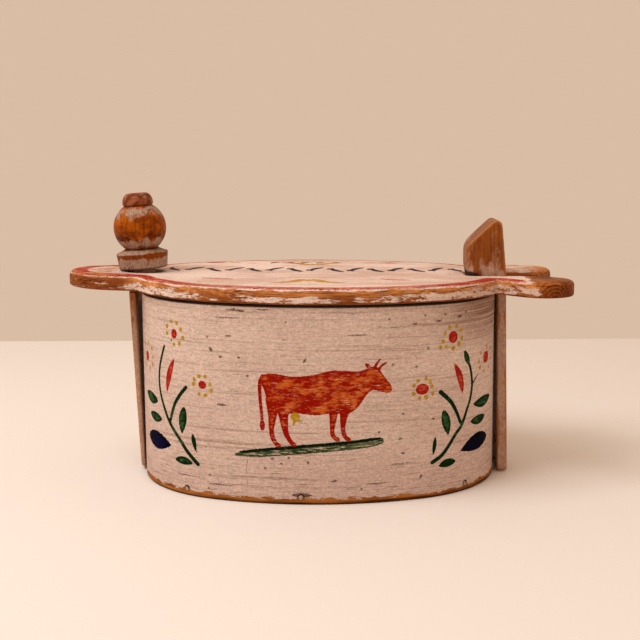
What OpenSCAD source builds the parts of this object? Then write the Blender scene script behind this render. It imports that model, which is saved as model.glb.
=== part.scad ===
// Oval bentwood box with a board lid that snaps under a springy catch post.
// Origin: middle of the underside. +Z up, +X towards the catch post, -Y is the front.

/* [Box] */
// Outside length of the bent band
box_l = 238; // [180:1:320]
// Outside depth of the bent band
box_w = 178; // [130:1:220]
// Height of the band at its middle
box_h = 125; // [80:1:200]
// Thickness of the bent band
wall = 4; // [3:0.5:7]
// How much tighter the round ends are than half the depth
end_tight = 7; // [4:1:20]
// Fall of the hand-cut rim towards the catch post, in degrees
rim_slope = 0.5; // [0:0.1:1]

/* [Bottom] */
// Thickness of the bottom board
board_t = 9; // [7:0.5:14]
// Diameter of the pegs round the bottom board
peg_d = 3.2; // [2:0.1:4.5]
// Length of the pegs round the bottom board
peg_l = 14; // [10:1:20]
// How far a peg stands proud of what it is driven into
peg_proud = 0.3; // [0.1:0.1:0.6]

/* [Lap seam] */
// Length of the overlap at the back
lap_l = 56; // [40:1:80]
// Thickness of the outer end where it laps
lap_t = 1.3; // [0.8:0.1:2]
// Width of the root lacing
lace_w = 4; // [2.5:0.5:6]
// Thickness of the root lacing
lace_t = 0.9; // [0.6:0.1:1.4]
// Height of one stitch
stitch_h = 13; // [9:0.5:15]
// Distance between the two rows of stitches
stitch_rows_gap = 30; // [15:1:36]
// Number of stitches in a row
stitch_n = 5; // [3:1:6]
// Height of the slit that a stitch's leg passes through
leg_h = 1.4; // [1:0.1:3]

/* [Lid] */
// Thickness of the lid board
lid_t = 10; // [7:0.5:14]
// Overhang of the lid past the long sides
lid_over_side = 2.2; // [2.1:0.1:6]
// Overhang of the lid past the ends, over the posts
lid_over_end = 6; // [3:0.5:12]
// How much tighter the lid's round ends are than half its depth
lid_tight = 11; // [6:1:20]
// How far the tongue reaches past the oval
tongue_l = 43; // [36:1:60]
// Width of the tongue
tongue_w = 68; // [40:1:80]
// How far the front prong reaches past the oval
front_prong_l = 40.5; // [30:0.5:60]
// How far the rear prong reaches past the oval
rear_prong_l = 38; // [30:0.5:60]
// Width of each prong
prong_w = 41; // [25:1:50]
// Angle at which the prongs' outer edges flare, in degrees
prong_flare = 45; // [35:1:50]
// Width of the slot between the prongs
slot_w = 32; // [20:1:40]
// How far the slot runs in from the end of the oval
slot_l = 25; // [20:1:32]
// Corner radius at the closed end of the slot
slot_r = 4; // [2:0.5:8]

/* [Hinge post] */
// Width of the hinge post at its shoulder
hinge_w = 36; // [26:1:44]
// Width of the hinge post at its foot
hinge_foot_w = 22; // [14:1:30]
// Thickness of the hinge post at its shoulder
hinge_t = 6.2; // [4:0.1:10]
// Thickness of the hinge post at its foot
hinge_foot_t = 3.2; // [2:0.2:6]
// Corner radius at the foot of the hinge post
hinge_foot_r = 9; // [2:0.5:12]
// Radius of the hinge post's crowned outer face
hinge_crown_r = 70; // [50:1:120]
// Gap between the band and the top of the hinge post
hinge_gap = 2.3; // [0.5:0.1:3]
// Drop of the shoulder below the rim, which lets the lid tilt
shoulder_drop = 2; // [1.8:0.1:5]
// Diameter of the neck that passes through the lid
neck_d = 16; // [12:0.5:18]
// Distance of the neck's middle inside the band's outer face
neck_in = 1.6; // [0:0.1:2]
// How far the neck's root runs down the hinge post below the shoulder
neck_root = 6; // [3:0.5:12]
// Room round the neck in the lid's hole
hole_room = 2.3; // [1.8:0.1:4]

/* [Knob] */
// Outward lean of the knob and neck, in degrees
knob_lean = 3.5; // [0:0.5:5]
// Height of the knob's foot above the lid
knob_gap = 2.9; // [2.1:0.1:6]
// Diameter of the knob's foot disc
disc_d = 34.6; // [26:0.2:36]
// Height of the foot disc
disc_h = 11; // [7:0.5:14]
// How much the disc draws in at its underside, each side
disc_draw = 1.1; // [0:0.1:2]
// Diameter of the collar between the disc and the ball
collar_d = 23; // [18:0.5:26]
// Height of the collar
collar_h = 3; // [2:0.2:5]
// Diameter of the ball
ball_d = 35; // [28:0.5:40]
// How deep the ball is set into the disc
ball_set = 1.2; // [0.2:0.1:2]
// Diameter of the cap
cap_d = 20.4; // [14:0.2:26]
// Diameter of the cap's flat top
cap_top_d = 14.6; // [8:0.2:18]
// Height of the cap's straight edge
cap_edge_h = 5; // [3:0.2:8]
// Height of the cap's sloping top
cap_top_h = 5.2; // [2:0.2:8]
// How deep the cap is set into the ball
cap_set = 4.4; // [3:0.2:6]
// Diameter of the tenon that holds the knob
tenon_d = 9; // [6:0.5:11]
// Length of the tenon
tenon_l = 16; // [10:1:24]

/* [Catch post] */
// Room between the catch post and each side of the slot
slot_room = 1; // [0.5:0.1:2]
// Width of the catch post at its foot
catch_foot_w = 34; // [16:1:40]
// Corner radius at the foot of the catch post
catch_foot_r = 4; // [2:0.5:8]
// Radius of the catch post's crowned outer face
catch_crown_r = 110; // [70:1:150]
// Thickness of the catch post at the rim
catch_t = 6.7; // [5:0.1:9]
// Thickness of the catch post at its foot
catch_foot_t = 7.8; // [5:0.1:10]
// Gap between the band and the catch post at the rim
catch_gap = 0.5; // [0.3:0.1:1.5]
// Gap between the band and the catch post at its foot
catch_foot_gap = 1.9; // [1.6:0.1:3]
// How far the nose reaches over the lid
nose_over = 1.1; // [0.5:0.1:1.2]
// Height of the nose's slanted underside
nose_slant = 6.2; // [6:0.1:8]
// Height of the upright part of the nose above the slanted underside
nose_h = 13; // [10:0.5:18]
// Radius of the round between the nose and the ramp
nose_r = 11.5; // [4:0.5:14]
// Slope of the ramp on the head, in degrees
ramp_slope = 43; // [35:1:55]
// Radius of the round top
top_r = 4; // [3:0.5:7]
// How far the round top's middle lies in from the outer face
top_in = 7.8; // [6:0.1:12]

/* [Posts] */
// Height of the posts' feet above the ground
foot_up = 1; // [0.8:0.1:6]
// Diameter of the pegs that hold the posts
post_peg_d = 3.8; // [3:0.1:5]
// Height of the upper pegs, and of the catch post's bending line
upper_peg_z = 18; // [15:1:30]
// How deep the lower pegs go into the bottom board
peg_bite = 10; // [6:1:16]

/* [Clearances] */
// Room round pegs, lacing and the tenon
fit_gap = 0.05; // [0.02:0.01:0.1]
// Room round the bottom board
board_gap = 0.15; // [0.05:0.05:0.3]
// Room between pieces that move past each other
run_gap = 0.3; // [0.2:0.05:0.5]
// Room round the pegs in the catch post, which rocks on them
rock_gap = 0.45; // [0.4:0.05:0.6]

/* [Hidden] */
$fn = 120;

half_l = box_l / 2;
half_w = box_w / 2;
end_r = half_w - end_tight;
end_c = half_l - end_r;
side_r = side_radius(half_l, half_w, end_r);
side_c = side_r - half_w;
joint_angle = atan2(side_c, end_c);
reach = 2 * box_l;
// How far a cut runs past the faces it opens
cut = 1;

// Directions of the pegs round the bottom, clear of the posts and of the lap
peg_angles = [-124, -93, -45, 54, 106, 126];

lid_half_l = half_l + lid_over_end;
lid_half_w = half_w + lid_over_side;
slot_x = lid_half_l - slot_l;

neck_x = half_l - neck_in;
neck_h = lid_t + knob_gap;
hinge_rim = rim_z(-neck_x);
shoulder_z = hinge_rim - shoulder_drop;

catch_w = slot_w - 2 * slot_room;
catch_rim = rim_z(half_l);
catch_lean = outer_lean(catch_foot_gap, catch_gap, catch_foot_t, catch_t, catch_rim);
neck_base = rim_z(slot_x) + 2 * run_gap;
lid_top = rim_z(slot_x) + lid_t;
neck_face = slot_x + 2 * run_gap;
nose_x = slot_x - nose_over;
nose_z = lid_top + run_gap + nose_slant;
ramp_z = nose_z + nose_h;
top_x = half_l + catch_out(catch_rim) - top_in;
top_c = [top_x, ramp_z + (top_x - nose_x) * tan(ramp_slope) - top_r / cos(ramp_slope)];
nose_steps = 8;
head_corner = slot_r + 2 * slot_room;

function rim_z(x) = box_h - x * tan(rim_slope);

// Side radius of a four-centre oval with half length a, half depth b and end radius r
function side_radius(a, b, r) = (pow(a - r, 2) + b * b - r * r) / (2 * (b - r));

// True where the band's outward direction falls on one of its long side arcs
function on_side(angle) = abs(sin(angle)) > sin(joint_angle);
function arc_centre(angle) = on_side(angle) ? [0, -sign(sin(angle)) * side_c] : [sign(cos(angle)) * end_c, 0];
function arc_radius(angle) = on_side(angle) ? side_r : end_r;

// Four-centre oval: two long side arcs and two round ends that meet them smoothly
module oval(a, b, r) {
    sr = side_radius(a, b, r);
    ec = a - r;
    sc = sr - b;
    joint_x = sr * ec / norm([ec, sc]);
    intersection() {
        translate([0, -sc]) circle(sr);
        translate([0, sc]) circle(sr);
        square([2 * joint_x, 4 * b], center = true);
    }
    for (s = [-1, 1])
        translate([s * ec, 0]) circle(r);
}

// The band's outside outline, grown or shrunk all round
module band_oval(grow) {
    oval(half_l + grow, half_w + grow, end_r + grow);
}

// Places children on the band's outside: their +X points outwards
module on_band(angle) {
    translate(arc_centre(angle))
        rotate(angle)
            translate([arc_radius(angle), 0, 0]) children();
}

// Places children on the sloping plane of the rim
module on_rim() {
    translate([0, 0, box_h]) rotate([0, rim_slope, 0]) children();
}

// Everything below the rim
module below_rim() {
    on_rim() translate([-reach / 2, -reach / 2, -reach]) cube(reach);
}

// A peg driven inwards along -X from its outer end
module peg(d, l) {
    rotate([0, -90, 0]) cylinder(d = d, h = l);
}

// The pegs round the bottom board, or the holes for them
module rim_pegs(room) {
    for (angle = peg_angles)
        on_band(angle)
            translate([peg_proud, 0, board_t / 2]) peg(peg_d + 2 * room, peg_l + room);
}

// One stitch's two legs through the wall and, if wanted, its bars outside and inside
module stitch(room, bars) {
    inside = -wall - lace_t - fit_gap;
    outside = lap_t + lace_t + fit_gap;
    for (s = [-1, 1])
        translate([inside, -lace_w / 2 - room, s * (stitch_h - leg_h) / 2 - leg_h / 2 - room])
            cube([outside - inside, lace_w + 2 * room, leg_h + 2 * room]);
    if (bars)
        for (x = [inside, outside - lace_t])
            translate([x, -lace_w / 2, -stitch_h / 2]) cube([lace_t, lace_w, stitch_h]);
}

// Two rows of stitches up the lap at the back, between the bottom board and the rim
module stitches(room, bars) {
    pitch = (box_h - board_t) / stitch_n;
    turn = asin(stitch_rows_gap / 2 / side_r);
    for (s = [-1, 1])
        for (i = [0 : stitch_n - 1])
            on_band(90 + s * turn)
                translate([0, 0, board_t + (i + 0.5) * pitch]) stitch(room, bars);
}

// Upright board of a post at the +X end, between its inner plane and its crowned outer face.
// Its width runs evenly from the foot's to w at top_z, and stays the same above that
module post_board(w, foot_w, foot_r, crown_r, foot_gap, top_gap, foot_t, t, top_z, run_on) {
    inner_lean = atan((top_gap - foot_gap) / top_z);
    r = min(foot_r, 0.45 * foot_w);
    foot_z = foot_up + r;
    end_z = top_z + run_on;
    intersection() {
        rotate([90, 0, 90]) linear_extrude(reach) {
            for (s = [-1, 1])
                translate([s * (foot_w / 2 - r), foot_z]) circle(r);
            polygon([[r - foot_w / 2, foot_up], [foot_w / 2 - r, foot_up], [foot_w / 2, foot_z],
                     [w / 2, top_z], [w / 2, end_z], [-w / 2, end_z], [-w / 2, top_z], [-foot_w / 2, foot_z]]);
        }
        translate([half_l + foot_gap, -reach / 2, 0])
            rotate([0, inner_lean, 0]) translate([0, 0, -reach / 2]) cube(reach);
        crown(crown_r, foot_gap + foot_t, outer_lean(foot_gap, top_gap, foot_t, t, top_z));
    }
}

// Round bar whose outermost line is a post's crowned outer face
module crown(crown_r, foot_out, lean) {
    translate([half_l + foot_out, 0, 0])
        rotate([0, lean, 0])
            translate([-crown_r, 0, -reach / 2]) cylinder(r = crown_r, h = reach);
}

// Lean of a post's outer face, and how far out from the band that face is at a height
function outer_lean(foot_gap, top_gap, foot_t, t, top_z) = atan((top_gap + t - foot_gap - foot_t) / top_z);
function hinge_out(z) = run_gap + hinge_foot_t
    + z * tan(outer_lean(run_gap, hinge_gap, hinge_foot_t, hinge_t, shoulder_z));
function catch_out(z) = catch_foot_gap + catch_foot_t + z * tan(catch_lean);

// The two pegs of a post at the +X end, or the holes for them
module post_pegs(low_out, high_out, room) {
    d = post_peg_d + 2 * room;
    low = low_out + peg_proud;
    high = high_out + peg_proud;
    translate([half_l + low, 0, board_t / 2]) peg(d, low + wall + peg_bite + room);
    translate([half_l + high, 0, upper_peg_z]) peg(d, high + wall + peg_proud);
}

module hinge_pegs(room) {
    mirror([1, 0, 0]) post_pegs(hinge_out(board_t / 2), hinge_out(upper_peg_z), room);
}

module catch_pegs(room) {
    post_pegs(catch_out(board_t / 2), catch_out(upper_peg_z), room);
}

// Leaning axis of the neck and knob, at the lid's underside
module on_neck() {
    translate([-neck_x, 0, hinge_rim]) rotate([0, -knob_lean, 0]) children();
}

// One rounded prong of the fork, on the +Y side, with its outer edge flaring from the oval
module prong(prong_l) {
    r = prong_w / 2;
    c = [lid_half_l + prong_l - r, slot_w / 2 + r];
    edge = c + r * [-sin(prong_flare), cos(prong_flare)];
    root = edge.x - (edge.y - slot_w / 2) / tan(prong_flare);
    translate(c) circle(r);
    polygon([[root, slot_w / 2], [c.x, slot_w / 2], edge]);
}

// Outline that is open towards +X, with two rounded corners at its closed end
module channel(x, w, r) {
    translate([x + r, -w / 2]) square([reach, w]);
    translate([x, -w / 2 + r]) square([2 * r, w - 2 * r]);
    for (s = [-1, 1])
        translate([x + r, s * (w / 2 - r)]) circle(r);
}

module lid_outline() {
    tongue_c = lid_half_l + tongue_l - tongue_w / 2;
    oval(lid_half_l, lid_half_w, lid_half_w - lid_tight);
    translate([-tongue_c, 0]) circle(d = tongue_w);
    translate([-tongue_c, -tongue_w / 2]) square([tongue_c, tongue_w]);
    mirror([0, 1]) prong(front_prong_l);
    prong(rear_prong_l);
}

// Side outline of the catch post's head: neck in the slot, nose, ramp and round top
module head_outline() {
    round_c = [nose_x + nose_r, ramp_z - nose_r * tan((90 - ramp_slope) / 2)];
    polygon(concat(
        [[neck_face, neck_base], [neck_face, lid_top + run_gap],
         [slot_x + run_gap, lid_top + run_gap], [nose_x, nose_z]],
        [for (i = [0 : nose_steps])
            let (a = 180 - (90 - ramp_slope) * i / nose_steps)
            round_c + nose_r * [cos(a), sin(a)]],
        [top_c + top_r * [-sin(ramp_slope), cos(ramp_slope)], top_c, top_c + [top_r, 0],
         [half_l + catch_out(catch_rim), neck_base]]));
    translate(top_c) circle(top_r);
}

module bentwood_band() {
    color("antiquewhite")
        difference() {
            intersection() {
                union() {
                    linear_extrude(reach) band_oval(0);
                    intersection() {
                        linear_extrude(reach) band_oval(lap_t);
                        translate([-lap_l / 2, 0, 0]) cube([lap_l, reach, reach]);
                    }
                }
                below_rim();
            }
            translate([0, 0, -cut]) linear_extrude(reach) band_oval(-wall);
            rim_pegs(fit_gap);
            stitches(fit_gap, false);
            hinge_pegs(fit_gap);
            catch_pegs(fit_gap);
        }
}

module lap_lacing() {
    color("peru") stitches(0, true);
}

module bottom_board() {
    color("tan")
        difference() {
            linear_extrude(board_t) band_oval(-wall - board_gap);
            rim_pegs(fit_gap);
            hinge_pegs(fit_gap);
            catch_pegs(fit_gap);
        }
}

module bottom_pegs() {
    color("saddlebrown") rim_pegs(0);
}

module hinge_post() {
    color("burlywood") {
        difference() {
            mirror([1, 0, 0])
                post_board(hinge_w, hinge_foot_w, hinge_foot_r, hinge_crown_r, run_gap, hinge_gap,
                           hinge_foot_t, hinge_t, shoulder_z, 0);
            hinge_pegs(fit_gap);
        }
        difference() {
            on_neck() {
                translate([0, 0, -shoulder_drop - neck_root])
                    cylinder(d = neck_d, h = neck_root + shoulder_drop + neck_h);
                cylinder(d = tenon_d, h = neck_h + tenon_l);
            }
            linear_extrude(hinge_rim + run_gap) band_oval(run_gap);
        }
    }
}

module hinge_post_pegs() {
    color("saddlebrown") hinge_pegs(0);
}

module knob() {
    ball_z = disc_h + ball_d / 2 - ball_set;
    cap_z = ball_z + ball_d / 2 - cap_set;
    color("peru")
        on_neck() translate([0, 0, neck_h])
            difference() {
                union() {
                    cylinder(d1 = disc_d - 2 * disc_draw, d2 = disc_d, h = disc_h);
                    translate([0, 0, disc_h]) cylinder(d1 = disc_d, d2 = collar_d, h = collar_h);
                    translate([0, 0, ball_z]) sphere(d = ball_d);
                    translate([0, 0, cap_z]) cylinder(d = cap_d, h = cap_edge_h);
                    translate([0, 0, cap_z + cap_edge_h]) cylinder(d1 = cap_d, d2 = cap_top_d, h = cap_top_h);
                }
                translate([0, 0, -cut]) cylinder(d = tenon_d + 2 * fit_gap, h = cut + tenon_l + run_gap);
            }
}

module lid_board() {
    color("antiquewhite")
        on_rim()
            difference() {
                linear_extrude(lid_t) lid_outline();
                translate([0, 0, -cut])
                    linear_extrude(lid_t + 2 * cut) {
                        channel(slot_x, slot_w, slot_r);
                        translate([-neck_x / cos(rim_slope), 0]) circle(d = neck_d + 2 * hole_room);
                    }
            }
}

module catch_post() {
    color("chocolate")
        difference() {
            union() {
                post_board(catch_w, catch_foot_w, catch_foot_r, catch_crown_r, catch_foot_gap, catch_gap,
                           catch_foot_t, catch_t, catch_rim, lid_t);
                intersection() {
                    translate([0, catch_w / 2, 0]) rotate([90, 0, 0]) linear_extrude(catch_w) head_outline();
                    linear_extrude(reach) channel(nose_x, catch_w, head_corner);
                    crown(catch_crown_r, catch_foot_gap + catch_foot_t, catch_lean);
                }
            }
            catch_pegs(rock_gap);
        }
}

module catch_post_pegs() {
    color("saddlebrown") catch_pegs(0);
}

bentwood_band();
lap_lacing();
bottom_board();
bottom_pegs();
hinge_post();
hinge_post_pegs();
knob();
lid_board();
catch_post();
catch_post_pegs();
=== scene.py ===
# %% [markdown]
# # A painted bentwood box
# The box is a strip of thin wood bent into an oval, with a board lid that tilts on a knobbed post
# and snaps under a springy catch post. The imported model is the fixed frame: it says where every
# piece is and which body it moves with. This lesson dresses it with finely meshed, worn and
# painted pieces, in metres and in the same frame.

import math

import bmesh
import bpy
import numpy as np
from mathutils import Matrix, Vector
from mathutils.geometry import delaunay_2d_cdt


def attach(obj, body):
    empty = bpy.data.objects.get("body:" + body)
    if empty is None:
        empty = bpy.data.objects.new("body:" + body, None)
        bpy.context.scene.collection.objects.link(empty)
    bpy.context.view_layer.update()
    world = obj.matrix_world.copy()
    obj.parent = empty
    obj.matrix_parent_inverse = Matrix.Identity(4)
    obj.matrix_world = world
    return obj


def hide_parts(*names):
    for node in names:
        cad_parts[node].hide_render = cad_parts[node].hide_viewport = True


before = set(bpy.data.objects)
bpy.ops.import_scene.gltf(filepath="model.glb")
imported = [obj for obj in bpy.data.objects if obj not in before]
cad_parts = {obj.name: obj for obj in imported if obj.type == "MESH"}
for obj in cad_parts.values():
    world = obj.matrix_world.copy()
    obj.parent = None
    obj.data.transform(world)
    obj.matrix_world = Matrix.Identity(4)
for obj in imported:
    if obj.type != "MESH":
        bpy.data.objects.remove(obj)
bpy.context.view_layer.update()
MM = 0.001

# %% [markdown]
# ## Small tools for meshes
# Sizes are easier to think of in millimetres, so the shapes are worked out in millimetres with
# numpy and turned into metres when the mesh is made. Values that change over a surface, such as
# how far a spot is from the edge of a painted leaf, are stored on the vertices as attributes, and
# the materials read them by name.

# %% Mesh helpers


def new_object(name, data):
    """An object for a mesh, a lamp or a camera, linked to the scene."""
    made = bpy.data.objects.new(name, data)
    bpy.context.scene.collection.objects.link(made)
    return made


def smooth(mesh):
    mesh.polygons.foreach_set("use_smooth", np.ones(len(mesh.polygons), bool))


def make_mesh(name, points, faces):
    """A mesh object from points in millimetres, with smooth faces."""
    mesh = bpy.data.meshes.new(name)
    mesh.from_pydata((np.asarray(points, float) * MM).tolist(), [], faces)
    smooth(mesh)
    mesh.update()
    return new_object(name, mesh)


def store(piece, name, values):
    """Keeps one number per vertex under a name that a material can read."""
    attribute = piece.data.attributes.new(name, "FLOAT", "POINT")
    attribute.data.foreach_set("value", np.asarray(values, np.float32).ravel())


# %% [markdown]
# ## Small tools for materials
# Every finish here is a tree of nodes. These helpers add a node to the tree that is being built,
# wire its inputs and hand back a socket, so that a material reads like a recipe. The name tree
# stands for the tree in work.

# %% Node helpers
tree = None


def add_node(kind, inputs=(), **settings):
    """Adds a node to the tree, and sets or wires its inputs by name or number."""
    made = tree.nodes.new(kind)
    for key, value in settings.items():
        setattr(made, key, value)
    for key, value in dict(inputs).items():
        if isinstance(value, bpy.types.NodeSocket):
            tree.links.new(value, made.inputs[key])
        else:
            made.inputs[key].default_value = value
    return made


def spaced(named):
    """Keyword names with spaces for their underscores, as sockets have them."""
    return {key.replace("_", " "): value for key, value in named.items()}


def put(made, **sockets):
    """Wires sockets into a node's inputs."""
    for label, socket in spaced(sockets).items():
        tree.links.new(socket, made.inputs[label])


def calc(operation, a, b=0.0, c=0.0):
    return add_node("ShaderNodeMath", {0: a, 1: b, 2: c}, operation=operation).outputs[0]


def add(a, b):
    return calc("ADD", a, b)


def times(a, b, plus=0.0):
    return calc("MULTIPLY_ADD", a, b, plus)


def largest(first, *others):
    for other in others:
        first = calc("MAXIMUM", first, other)
    return first


def split(at):
    return add_node("ShaderNodeSeparateXYZ", {0: at}).outputs


def stretch(at, by):
    return add_node("ShaderNodeVectorMath", {0: at, 1: by}, operation="MULTIPLY").outputs[0]


def ramp(value, low, high, to_low=0.0, to_high=1.0):
    """A smooth step of a value between two limits."""
    inputs = {0: value, 1: low, 2: high, 3: to_low, 4: to_high}
    return add_node("ShaderNodeMapRange", inputs, interpolation_type="SMOOTHSTEP").outputs[0]


def blend(amount, a, b, mode="MIX"):
    """Colour a, with colour b laid over it by an amount."""
    inputs = {0: amount, 6: a, 7: b}
    return add_node("ShaderNodeMix", inputs, data_type="RGBA", blend_type=mode).outputs[2]


def clouds(at, scale=1.0, detail=3.0, rough=0.55):
    inputs = {"Vector": at, "Scale": scale, "Detail": detail, "Roughness": rough}
    return add_node("ShaderNodeTexNoise", inputs).outputs[0]


def streaks(at, by, detail=3.0, rough=0.55):
    """Noise drawn out along the axis that has the smallest number."""
    return clouds(stretch(at, by), 1.0, detail, rough)


def rgb(*screen):
    """A colour given as screen values from 0 to 255, as linear light."""
    part = [v / 255 for v in screen]
    return (*[v / 12.92 if v <= 0.04045 else ((v + 0.055) / 1.055) ** 2.4 for v in part], 1.0)


# %% Groups with named sockets
POSITION = ("Position", "Vector", (0, 0, 0))


def new_tree(name, kind, inputs, outputs):
    """A node group. Returns it, its input sockets, its output node and its inputs' identifiers."""
    global tree
    tree = bpy.data.node_groups.new(name, kind + "NodeTree")
    ids = {}
    for label, sort, default in inputs:
        socket = tree.interface.new_socket(label, in_out="INPUT", socket_type="NodeSocket" + sort)
        if default is not None:
            socket.default_value = default
        ids[label] = socket.identifier
    for label, sort in outputs:
        tree.interface.new_socket(label, in_out="OUTPUT", socket_type="NodeSocket" + sort)
    return tree, tree.nodes.new("NodeGroupInput").outputs, tree.nodes.new("NodeGroupOutput"), ids


# %% [markdown]
# ## Wood with growth rings
# A board is cut from a round trunk, so its rings are long lines on its faces and arcs on its
# ends. One group makes both: it measures how far a point is from the pith, the trunk's middle
# line, which runs along the first axis of the position it is given. Turning that position turns
# the grain, so the same group serves the lid, the upright posts and the knob.

# %% Group: ringed wood
ringed_wood, given, result, _ = new_tree(
    "ringed_wood", "Shader",
    [POSITION, ("Pith", "Vector", (0, 0, 0)), ("Ring width", "Float", 0.004), ("Wander", "Float", 0.012),
     ("Rings", "Float", 0.5), ("Pale", "Color", (0.5, 0.3, 0.15, 1)), ("Dark", "Color", (0.2, 0.1, 0.04, 1))],
    [("Colour", "Color"), ("Height", "Float")])
at = given["Position"]
wander = streaks(at, (5, 40, 40), 2.0)
from_pith = add_node("ShaderNodeVectorMath", {0: at, 1: given["Pith"]}, operation="SUBTRACT").outputs[0]
sideways = stretch(from_pith, (0, 1, 1))
across = add_node("ShaderNodeVectorMath", {0: sideways}, operation="LENGTH").outputs["Value"]
turns = calc("DIVIDE", times(wander, given["Wander"], across), given["Ring width"])
late_wood = ramp(calc("SINE", times(turns, 2 * math.pi)), 0.1, 1.0)
fibre = streaks(at, (22, 900, 900), 3.0, 0.6)
tone = add(times(late_wood, given["Rings"]), times(ramp(fibre, 0.62, 0.38), 0.45))
patch = streaks(at, (40, 120, 120), 4.0, 0.6)
tone = add(tone, times(patch, 1.6, -0.72))
tone = largest(calc("MINIMUM", tone, 1.0), 0.0)
put(result, Colour=blend(tone, given["Pale"], given["Dark"]), Height=times(late_wood, -0.3, fibre))
print("nodes in ringed_wood:", len(tree.nodes))

# %% [markdown]
# ## Paint that has flaked and rubbed away
# Old milk paint leaves a board in flakes: first at the edges, then along the grain. The group
# compares soft noise with a number called Bare, which says how worn a spot is, and gives back how
# much paint still covers it. A second group turns the distance from the edge of a painted figure
# into brush paint with an uneven edge and dry streaks.

# %% Groups: flaking paint and brush paint
flaking_paint, given, result, _ = new_tree(
    "flaking_paint", "Shader",
    [POSITION, ("Bare", "Float", 0.0), ("Softness", "Float", 0.08)], [("Cover", "Float")])
broad = clouds(given["Position"], 1.0, 5.0, 0.62)
fine = clouds(given["Position"], 5.5, 3.0, 0.6)
level = ramp(add(times(broad, 0.72), times(fine, 0.28)), 0.30, 0.70)
put(result, Cover=ramp(level, calc("SUBTRACT", given["Bare"], given["Softness"]),
                       add(given["Bare"], given["Softness"])))

brush_paint, given, result, _ = new_tree(
    "brush_paint", "Shader",
    [("Distance", "Float", -5.0), POSITION, ("Ragged", "Float", 0.25), ("Dry", "Float", 0.3)],
    [("Mask", "Float"), ("Tone", "Float")])
at, depth = given["Position"], given["Distance"]
offset = times(calc("SUBTRACT", clouds(at, 1400.0, 2.0), 0.5), times(given["Ragged"], 4.0))
body = ramp(add(depth, offset), -0.14, 0.14)
hairs, dry = streaks(at, (140, 1400, 1400), 3.0, 0.6), given["Dry"]
gaps = ramp(hairs, times(dry, 0.4, 0.16), times(dry, 0.4, 0.28))
gaps = largest(gaps, ramp(depth, 1.1, 0.5, 0.0, 0.8))
dabs = streaks(at, (200, 560, 560), 5.0, 0.72)
loads = streaks(at, (90, 130, 130), 2.0)
dabs = times(calc("SUBTRACT", loads, 0.5), 0.8, dabs)
put(result, Mask=times(body, gaps), Tone=add(dabs, ramp(depth, 0.2, 2.2, -0.11, 0.03)))
print("nodes in the paint groups:", len(flaking_paint.nodes), len(brush_paint.nodes))

# %% [markdown]
# ## Grime and specks
# Handling leaves fine mottling and a few dark specks, each under a millimetre. A Voronoi pattern
# puts one possible speck in each cell, and a random value per cell decides which ones are there.

# %% Group: grime
grime, given, result, _ = new_tree(
    "grime", "Shader", [POSITION, ("Cells", "Float", 60.0), ("Share", "Float", 0.4), ("Size", "Float", 0.03)],
    [("Specks", "Float"), ("Mottle", "Float")])
cells = add_node("ShaderNodeTexVoronoi", {"Vector": given["Position"], "Scale": given["Cells"]}).outputs
pick = add_node("ShaderNodeSeparateColor", {0: cells["Color"]}).outputs
chosen = calc("LESS_THAN", pick[0], given["Share"])
reach = times(given["Size"], times(pick[1], 1.2, 0.4))
dot = ramp(cells["Distance"], reach, times(reach, 0.4))
soft_spots = clouds(given["Position"], 560.0, 4.0, 0.75)
fine_spots = clouds(given["Position"], 1700.0, 2.0, 0.6)
mottle = add(times(soft_spots, 0.55), times(fine_spots, 0.45))
put(result, Specks=times(dot, chosen), Mottle=ramp(mottle, 0.36, 0.64))
print("shader groups:", [g.name for g in bpy.data.node_groups])

# %% [markdown]
# ## The oval
# The band is drawn with four arcs: two long, flat ones for the sides and two tight ones for the
# ends. Walking along them by arc length gives a flat map of the band, as if it were unrolled: s
# runs from the middle of the front, to the right, and z runs up. The figures are painted on that
# flat map.

# %% Walk along the oval
HALF_L, HALF_W, END_TIGHT, WALL, BOX_H, RIM_SLOPE = 119.0, 89.0, 7.0, 4.0, 125.0, math.radians(0.5)
END_R = HALF_W - END_TIGHT
END_C = HALF_L - END_R
SIDE_R = (END_C ** 2 + HALF_W ** 2 - END_R ** 2) / (2 * END_TIGHT)
SIDE_C = SIDE_R - HALF_W
JOINT = math.pi / 2 - math.atan2(SIDE_C, END_C)
SIDE_RUN = SIDE_R * JOINT
END_RUN = END_R * (math.pi - 2 * JOINT)
HALF_ROUND = 2 * SIDE_RUN + END_RUN


def oval_walk(s):
    """Points and outward directions on the oval at arc lengths s from the middle of the front."""
    way, side = np.abs(s), np.where(s < 0, -1.0, 1.0)
    front, end = way <= SIDE_RUN, way <= SIDE_RUN + END_RUN
    angle = np.where(front, way / SIDE_R,
                     np.where(end, JOINT + (way - SIDE_RUN) / END_R,
                              math.pi - JOINT + (way - SIDE_RUN - END_RUN) / SIDE_R))
    nx, ny = side * np.sin(angle), -np.cos(angle)
    radius = np.where(~front & end, END_R, SIDE_R)
    cx = np.where(~front & end, side * END_C, 0.0)
    cy = np.where(front, SIDE_C, np.where(end, 0.0, -SIDE_C))
    return np.stack([cx + radius * nx, cy + radius * ny], -1), np.stack([nx, ny], -1)


def rim_height(x):
    return BOX_H - x * math.tan(RIM_SLOPE)


print("half way round the band:", round(HALF_ROUND, 1), "mm")

# %% [markdown]
# ## The bent band
# The strip has soft corners at its rim and foot, and at the back its outer end climbs over the
# inner one. A profile of the wall is carried round the oval. The columns are close together at
# the front, where the painting needs them, and wide apart at the back.

# %% Profile and columns of the band
LAP_HALF, LAP_T, LAP_CLIMB = 28.0, 1.3, 20.0
FOOT_ROUND, RIM_ROUND = 1.3, 1.1
BEND_WAVE, BEND_DEPTH, SUNK = 45.0, 0.12, 0.2
PAINTED_HALF, FINE_STEP, BACK_COLUMNS, OUTER_ROWS, INNER_ROWS = 146.0, 0.75, 44, 154, 12


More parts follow.
